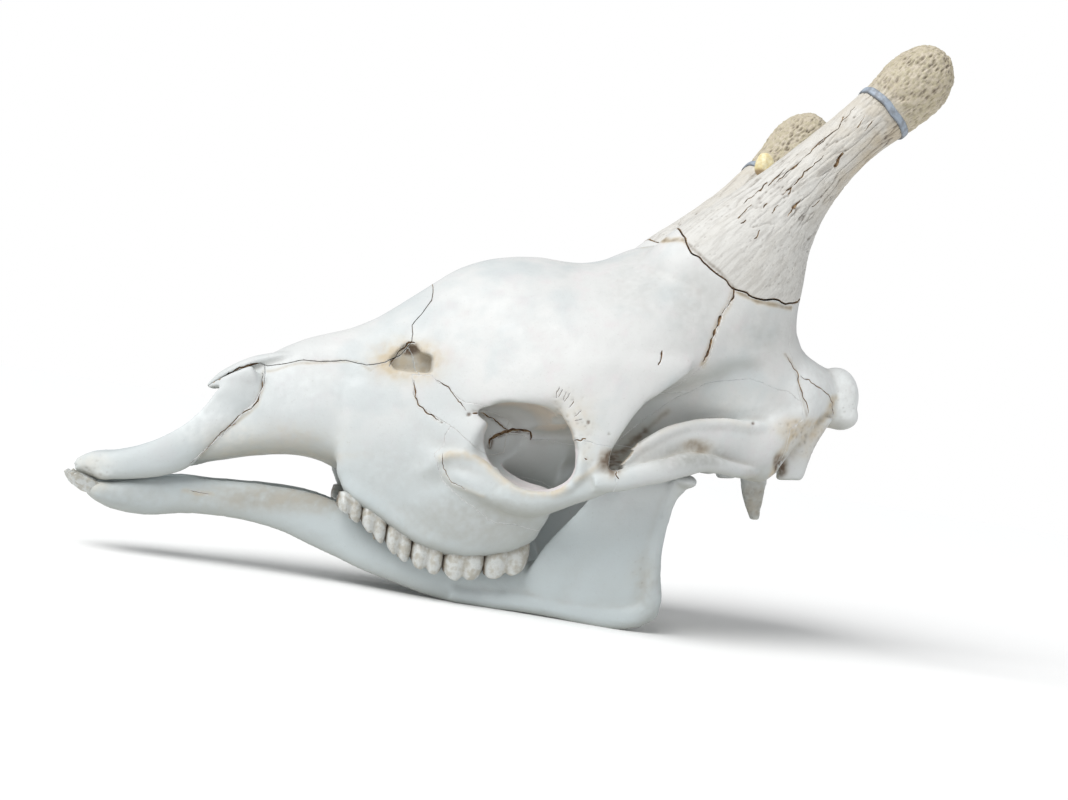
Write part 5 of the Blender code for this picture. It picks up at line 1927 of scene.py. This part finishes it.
    def parted(self, whole: Object, plan: BonePlan) -> list[Object]:
        """Parts a bone or a pair from the whole.

        Args:
            whole: What is left of the skull.
            plan: How they are parted.

        Returns:
            The bones.
        """
        bones = []
        slot = plan.seam.value
        for suffix, (low, high) in plan.spans().items():
            bone = placed(plan.name + suffix + "_bone", whole.data.copy())
            self.finishes.dress_bone(bone, plan.horn)
            self.clay.cut(bone, [plan.outline.space(low, high, -plan.gap / 2)], Cut.COMMON, slot)
            self.clay.largest(bone)
            if plan.horn:
                self.work_horn(bone, Side[suffix[1:].upper()])
            bones.append(bone)
            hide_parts(plan.name + suffix)
        gone = [plan.outline.space(low, high, plan.gap / 2) for low, high in plan.spans().values()]
        self.clay.cut(whole, gone, Cut.AWAY, slot)
        self.clay.largest(whole)
        return bones

    def work_horn(self, horn: Object, side: Side) -> None:
        """Works a horn's grooves and the pores of its knob into a finer mesh.

        Args:
            horn: The horn.
            side: Its side.
        """
        finer = horn.modifiers.new("finer", "SUBSURF")
        finer.levels = 1
        self.clay.settle(horn)
        mesh = Mesh(horn)
        points = mesh.points
        axis = unit(np.array([0.61, 0.16 * side.value, 0.78]))
        along = points @ axis
        strap = np.array(HORN_STRAPS[side]) @ axis
        knob = faded((along - strap - 2) / 8)
        shaft = faded((along - strap + 190) / 60) * (1 - knob)
        combed = points - 0.87 * along[:, None] * axis
        flutes = Grain(13, 51).layered(combed)
        vein = Grain(6.0, 52).layered(combed, 2)
        hair = Grain(3.0, 54).layered(combed, 2)
        groove = faded(1 - np.abs(vein) / 0.14) * faded(Grain(22, 55).at(points) + 0.75)
        scratch = faded(1 - np.abs(hair) / 0.16) * faded(Grain(17, 56).at(points) + 0.6)
        heights = shaft * (0.7 * flutes - 1.1 * groove - 0.55 * scratch + 0.25 * hair)
        squeezed = points - 0.35 * along[:, None] * axis
        drawn = points - 0.6 * along[:, None] * axis
        spongy = faded(1 - Grain(3.0, 57).pits(drawn) / 0.6) ** 0.8
        small = faded(1 - Grain(2.0, 58).pits(drawn) / 0.6)
        open_pores = faded(Grain(9, 59).at(points) + 0.9)
        lumps = 0.8 * Grain(8, 60).layered(points) + 0.7 * Grain(4, 63).layered(points)
        heights += knob * (lumps - 1.5 * spongy * open_pores - 0.8 * small)
        rough = (1 - knob) * faded(Grain(14, 61).layered(points) + 0.7)
        pores = faded(1 - Grain(3.4, 62).pits(squeezed) / 0.4) * rough
        heights -= 0.5 * pores
        stored = mesh.kept("dark")
        mesh.raise_by(heights)
        # Painted shade: the shaft's side turned back and down is darker and beige.
        rear_shade = faded(mesh.normals @ np.array([0.78, 0, -0.62]))
        up_shaft = faded((along - strap + 120) / 110)
        dark = shaft * (0.45 * groove + 0.28 * scratch * faded(flutes + 0.5)) + 0.45 * pores
        dark += knob * (0.6 * spongy * open_pores + 0.45 * small) + 0.26 * rear_shade * up_shaft * (1 - knob)
        mesh.keep("dark", faded(np.maximum(stored, dark)))
        mesh.keep("knob", faded((along - strap + 6) / 16))
        mesh.keep("cream", faded(up_shaft * (0.5 + 1.2 * rear_shade) + 0.15 * flutes))

    def mark_seams(self, bone: Object) -> None:
        """Stores how near a bone's seams are.

        Args:
            bone: The bone.
        """
        data = bone.data
        walls = Mesh.read(data.polygons, "material_index", 1)[:, 0]
        totals = Mesh.read(data.polygons, "loop_total", 1)[:, 0].astype(int)
        corners = Mesh.read(data.loops, "vertex_index", 1)[:, 0].astype(int)
        edge = np.zeros(len(data.vertices))
        for seam, share in ((Seam.PALE, 0.3), (Seam.DARK, 1.0)):
            edge[corners[np.repeat(walls == seam.value, totals)]] = share
        mesh = Mesh(bone)
        mesh.keep("seam", mesh.relaxed(edge, 5)[:, 0])

    def build(self) -> list[Object]:
        """Builds the skull's bones.

        Returns:
            The bones.
        """
        whole = self.whole()
        LOG.info("whole skull: %d faces", len(whole.data.polygons))
        self.sculpt(whole)
        self.finishes.dress_bone(whole)
        self.marks().cut(whole)
        bones = []
        for plan in self.plans:
            bones += self.parted(whole, plan)
            LOG.info("%s parted: %d faces", plan.name, len(bones[-1].data.polygons))
        whole.name = "skull_base_bone"
        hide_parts("skull_base")
        bones.append(whole)
        for bone in bones:
            self.mark_seams(bone)
            finished(bone)
        return bones


def shade_surface(mesh: Mesh) -> None:
    """Stores how hollow, how low and how far turned down a bone's surface is, where the finish paints shade.

    Args:
        mesh: The bone.
    """
    small = faded(mesh.hollowness(5) / 0.25)
    wide = faded(mesh.hollowness(60) / 2.0)
    # Painted shade: darker in hollows.
    mesh.keep("hollow", faded(0.5 * small + 0.7 * wide))
    cloud = Grain(60, 141).layered(mesh.points)
    # Painted shade: darker on faces turned down and towards the bottom, broken up by a random cloud.
    down = faded(-mesh.normals[:, 2] * 1.2 - 0.15 + 0.25 * cloud)
    low = faded((190 - mesh.points[:, 2]) / 130 + 0.35 * cloud)
    mesh.keep("under", down)
    mesh.keep("cool", low)
    for name in ("knob", "seam"):
        mesh.keep(name, np.zeros(len(mesh.points)))


def finished(piece: Object) -> None:
    """Makes a piece smooth and lets it ride with the skull.

    Args:
        piece: The piece.
    """
    piece.data.shade_smooth()
    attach(piece, ROOT)


@dataclass
class LowerJaw(Maker):
    """Both halves of the lower jaw.

    Attributes:
        studio: The viewpoint that the photograph's marks are placed from.
        joint: Middle of the left jaw joint.
        half_gap: Distance of each half from the middle plane.
    """
    studio: Studio
    joint: Row = (152, -89, 130.5)
    half_gap: float = 0.3

    def build(self) -> list[Object]:
        """Builds both halves.

        Returns:
            The halves.
        """
        forms = [bar(JAW_BODY), plate(RAMUS), bar(JAW_BORDER), bar(CORONOID), ball(self.joint, (10, 16, 6))]
        jaw = self.clay.made("jaw", [solid for form in forms for solid in both(form)])
        self.clay.fused(jaw, 3, self.clay.fine)
        self.clay.largest(jaw)
        mesh = Mesh(jaw)
        mesh.raise_by(0.5 * Grain(34, 12).layered(mesh.points) + 0.14 * Grain(7, 22).layered(mesh.points))
        marks = Marks(self.clay, self.studio, JAW_CRACKS, JAW_TRACES, JAW_PATCHES)
        marks.work(Mesh(jaw))
        shade_surface(Mesh(jaw))
        self.finishes.dress_bone(jaw)
        marks.cut(jaw)
        self.clay.cut(jaw, [Outline(GROUND_OUTLINE).space(-BEYOND, BEYOND, 0)], Cut.AWAY)
        halves = []
        for side in Side:
            low, high = sorted((side.value * self.half_gap, side.value * BEYOND))
            half = placed("mandible_" + side.word + "_bone", jaw.data.copy())
            self.clay.cut(half, [Outline(JAW_OUTLINE).space(low, high, 0)], Cut.COMMON, Seam.PALE.value)
            self.clay.largest(half)
            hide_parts("mandible_" + side.word)
            finished(half)
            halves.append(half)
            LOG.info("%s: %d faces", half.name, len(half.data.polygons))
        bpy.data.objects.remove(jaw)
        return halves


class Jaw(Enum):
    """A jaw, with the way that its teeth grow along z."""
    UPPER = -1
    LOWER = 1


@dataclass
class CheekTeeth(Maker):
    """The cheek teeth on one side of one jaw, with crescent cusps and a worn middle.

    Attributes:
        jaw: The jaw that they grow from.
        side: The side of the head.
        teeth: Middle x, length along the row and number of lobes of each tooth.
        row_y: Distance of the row from the middle plane at some x.
        gums: z of the gum at some x.
        tips: z of the tips at some x.
        half_width: Half the width of a tooth.
        cusp: How far a cusp stands beyond the notch next to it.
        rib: Height of the ribs on the outer wall.
        sides: Points round a tooth.
    """
    jaw: Jaw
    side: Side
    teeth: list[Row]
    row_y: list[Row]
    gums: list[Row]
    tips: list[Row]
    half_width: float
    cusp: float = 5.0
    rib: float = 0.5
    sides: int = 96

    def level(self, table: list[Row], x: Points) -> Points:
        """Reads a table of x and another number at some x."""
        return np.interp(x, *zip(*table))

    def tooth(self, x: float, length: float, lobes: int) -> tuple[Solid, Points, Points]:
        """Makes one tooth as rings from its root to the middle of its worn face.

        Args:
            x: Its middle.
            length: Its length along the row.
            lobes: How many lobes it has.

        Returns:
            The solid, and for each point how stained and how dark it is.
        """
        turn = circle(self.sides)
        along = signed(np.cos(turn), 0.5) * 1.05
        out = signed(np.sin(turn), 0.62)
        lobe = faded((along + 1) / 2) * lobes
        peak = 1 - np.abs(2 * (lobe - np.floor(np.minimum(lobe, lobes - 1e-6))) - 1)
        outer = out > 0
        column = faded((along + 1) / 2) * 2
        across = 2 * (column - np.floor(np.minimum(column, 1.999))) - 1
        bulge = np.sqrt(1 - 0.94 * np.clip(across, -1, 1) ** 2)
        ribs = np.where(outer, self.rib * (bulge - 0.55), 0.16 * (peak ** 0.6 - 0.75))
        spot = x + along * length / 2
        gum = self.level(self.gums, spot)
        tip = self.level(self.tips, spot)
        way = self.jaw.value
        amount = self.cusp * (1.0 if lobes == 2 else 0.75) * np.where(outer, 1.0, 0.8)
        ragged = np.where(outer, bulge, peak ** 0.85)
        edge = tip - way * amount * (1 - ragged) - way * np.where(outer, 0.0, 1.2)
        basin = tip - way * (self.cusp * 0.9)
        middle_y = self.side.value * abs(self.level(self.row_y, x))
        slope = self.side.value * (abs(self.level(self.row_y, spot)) - abs(self.level(self.row_y, x)))
        rings, stains, darks = [], [], []
        between = faded((np.abs(along) - 0.9) / 0.13)
        notch = faded(1 - bulge * 1.6)
        crown = ((-0.35, 0.78), (-0.12, 0.86), (0.02, 0.93), (0.2, 1.0), (0.4, 1.03), (0.6, 1.02),
                 (0.78, 0.97), (0.9, 0.90), (0.97, 0.83), (1.0, 0.76))
        for down, size in crown:
            z = gum + (edge - gum) * down
            grow = 1 + ribs * faded(down * 1.6 + 0.3)
            lean = 0.12 * self.half_width * max(0.0, down) ** 2
            tight = 1 - 0.05 * max(0.0, down - 0.5)
            rings.append(np.column_stack([x + along * length / 2 * size ** 0.35 * tight,
                                          middle_y + slope + self.side.value
                                          * (lean + out * self.half_width * size * grow), z]))
            gumline = math.exp(-((down - 0.04) / 0.1) ** 2)
            stains.append(faded(0.55 * gumline + 0.9 * between + 0.45 * notch * (down > 0.1)))
            darks.append(faded(between - 0.55) * 1.6)
        for size, share, stain in ((0.64, 0.35, 0.3), (0.48, 0.8, 0.6), (0.36, 1.0, 0.9), (0.24, 0.85, 0.8),
                                   (0.1, 0.75, 0.6)):
            z = edge + (basin - edge) * share
            rings.append(np.column_stack([x + along * length / 2 * size ** 0.8,
                                          middle_y + slope * size + self.side.value
                                          * out * self.half_width * size, z]))
            stains.append(np.full(self.sides, stain))
            darks.append(np.full(self.sides, 0.5 * (stain > 0.7)))
        return skinned(rings), np.concatenate(stains), np.concatenate(darks)

    def build(self) -> Object:
        """Builds the row.

        Returns:
            The teeth, as one piece.
        """
        made = [self.tooth(*tooth) for tooth in self.teeth]
        row = self.clay.made(self.jaw.name.lower() + "_teeth_" + self.side.word, [tooth[0] for tooth in made])
        mesh = Mesh(row)
        mesh.raise_by(0.22 * Grain(4.5, 31).layered(mesh.points))
        mesh.keep("stain", np.concatenate([tooth[1] for tooth in made]))
        mesh.keep("dark", np.concatenate([tooth[2] for tooth in made]))
        row.data.materials.append(self.finishes.enamel)
        finished(row)
        return row


@dataclass
class Incisors(Maker):
    """The fan of front teeth on one half of the lower jaw.

    Attributes:
        side: The side of the head.
        count: How many teeth there are.
        first_y: Distance of the first one's edge from the middle plane.
        pitch: Distance from one tooth to the next.
        step_back: How far each stands behind the one before.
        profile: From root to edge: x, y as a share of its place in the fan, z, half width, half depth,
            and how much of its step back counts there.
    """
    side: Side
    count: int = 4
    first_y: float = 3.6
    pitch: float = 5.6
    step_back: float = 3.2
    profile: tuple[Row, ...] = (
        (-309, 0.8, 46, 2.7, 4.0, 0.4), (-321, 0.9, 48, 2.9, 5.2, 0.7), (-331, 1.0, 51.5, 3.2, 5.2, 1.0),
        (-338, 1.01, 55, 3.3, 3.8, 1.0), (-342.5, 1.02, 59, 3.1, 1.5, 1.0))

    def build(self) -> Object:
        """Builds the fan.

        Returns:
            The teeth, as one piece.
        """
        teeth, stains = [], []
        for i in range(self.count):
            place = self.side.value * (self.first_y + self.pitch * i)
            back = self.step_back * i
            stations = [(x + back * share, place * spread, z, half_width, half_depth)
                        for x, spread, z, half_width, half_depth, share in self.profile]
            teeth.append(bar(stations, sides=24, power=2.4))
            down = np.repeat(np.linspace(0, 1, len(teeth[-1][0]) // 24), 24)
            stains.append(faded(1 - down * 2.2) * 0.35)
        fan = self.clay.made("incisors_" + self.side.word, teeth)
        mesh = Mesh(fan)
        mesh.raise_by(0.5 * Grain(4, 33).layered(mesh.points) + 0.3 * Grain(1.8, 34).at(mesh.points))
        mesh.keep("stain", np.concatenate(stains))
        mesh.keep("dark", np.zeros(len(mesh.points)))
        fan.data.materials.append(self.finishes.enamel)
        finished(fan)
        return fan


@dataclass
class HornBand(Maker):
    """A strap round a horn, lying partly in it.

    Attributes:
        side: The side of the head.
        middle: Its middle, inside the horn.
        axis: The direction along the horn, for the left one.
        width: Its width.
        thickness: Its thickness.
        depth: How deep it lies in the horn.
        steps: Sections round it.
    """
    side: Side
    middle: Row
    axis: Row = (0.59, -0.16, 0.79)
    width: float = 7.0
    thickness: float = 2.8
    depth: float = 1.2
    steps: int = 120

    def build(self, horn: Object) -> Object:
        """Builds the strap.

        Args:
            horn: The horn that it goes round.

        Returns:
            The strap.
        """
        surface = surface_of(horn)
        ahead = Vector((self.axis[0], -self.side.value * self.axis[1], self.axis[2])).normalized()
        across = (Vector((0, 1, 0)) - ahead.y * ahead).normalized()
        up = ahead.cross(across)
        middle = Vector(self.middle)
        turns = circle(self.steps)
        ways = [across * math.cos(turn) + up * math.sin(turn) for turn in turns]
        radius = np.array([surface.ray_cast(middle * MM, way)[3] / MM for way in ways])
        for _ in range(6):
            radius = (np.roll(radius, 1) + 2 * radius + np.roll(radius, -1)) / 4
        half = self.width / 2
        top = self.thickness - self.depth
        section = ((-self.depth, -half * 0.9), (top * 0.3, -half), (top * 0.85, -half * 0.8),
                   (top, -half * 0.4), (top, half * 0.4), (top * 0.85, half * 0.8), (top * 0.3, half),
                   (-self.depth, half * 0.9))
        rings = []
        for way, reach, turn in zip(ways, radius, turns):
            wander = 0.5 * math.sin(turn * 3 + 1) + 0.3 * math.sin(turn * 7)
            rings.append([middle + way * (reach + rise) + ahead * (along + wander)
                          for rise, along in section])
        strap = self.clay.made("strap_" + self.side.word, [skinned(rings, closed=True)])
        mesh = Mesh(strap)
        # Painted shadow along the strap's lower edge, uneven in strength.
        dirt = Grain(5, 91).layered(mesh.points)
        low = np.tile([1.0, 1.0, 0.5, 0.0, 0.0, 0.0, 0.1, 0.3], self.steps)
        mesh.keep("dark", faded(low * (0.75 + 0.5 * dirt)))
        strap.data.materials.append(self.finishes.strap)
        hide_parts("band_" + self.side.word)
        finished(strap)
        return strap


@dataclass
class ResinLump(Maker):
    """The lump on the right horn's strap.

    Attributes:
        middle: Its middle.
        radii: Its radii along x, y and z.
    """
    middle: Row = (230, 50, 437)
    radii: Row = (9.5, 8.5, 14)

    def build(self) -> Object:
        """Builds the lump.

        Returns:
            The lump.
        """
        lump = self.clay.made("resin_lump", [ball(self.middle, self.radii, 48, 72)])
        mesh = Mesh(lump)
        mesh.raise_by(0.9 * Grain(7, 81).layered(mesh.points))
        # Darker towards the bottom of the lump.
        low = faded((self.middle[2] - 2.5 - mesh.points[:, 2]) / 3)
        mesh.keep("dark", faded(low + 0.2 * Grain(3, 82).at(mesh.points)))
        lump.data.materials.append(self.finishes.resin)
        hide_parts("band_lump")
        finished(lump)
        return lump


def main() -> None:
    """Builds the skull, its lower jaw and the studio."""
    logging.basicConfig(level=logging.INFO, format="%(message)s")
    studio = Studio()
    studio.build()
    finishes = Finishes.built()
    clay = Clay()
    pieces = Cranium(clay, finishes, studio).build()
    bones = {bone.name: bone for bone in pieces}
    pieces += LowerJaw(clay, finishes, studio).build()
    for side in Side:
        for teeth in (CheekTeeth(clay, finishes, Jaw.UPPER, side, *UPPER_ROW, 9.0),
                      CheekTeeth(clay, finishes, Jaw.LOWER, side, *LOWER_ROW, 6.5),
                      Incisors(clay, finishes, side)):
            pieces.append(teeth.build())
    for side, middle in HORN_STRAPS.items():
        pieces.append(HornBand(clay, finishes, side, middle).build(bones["ossicone_" + side.word + "_bone"]))
    pieces.append(ResinLump(clay, finishes).build())
    LOG.info("teeth, straps and lump set")
    for piece in pieces:
        piece.data.transform(Matrix.Translation(ORIGIN_SHIFT * MM))


if __name__ == "__main__":
    main()
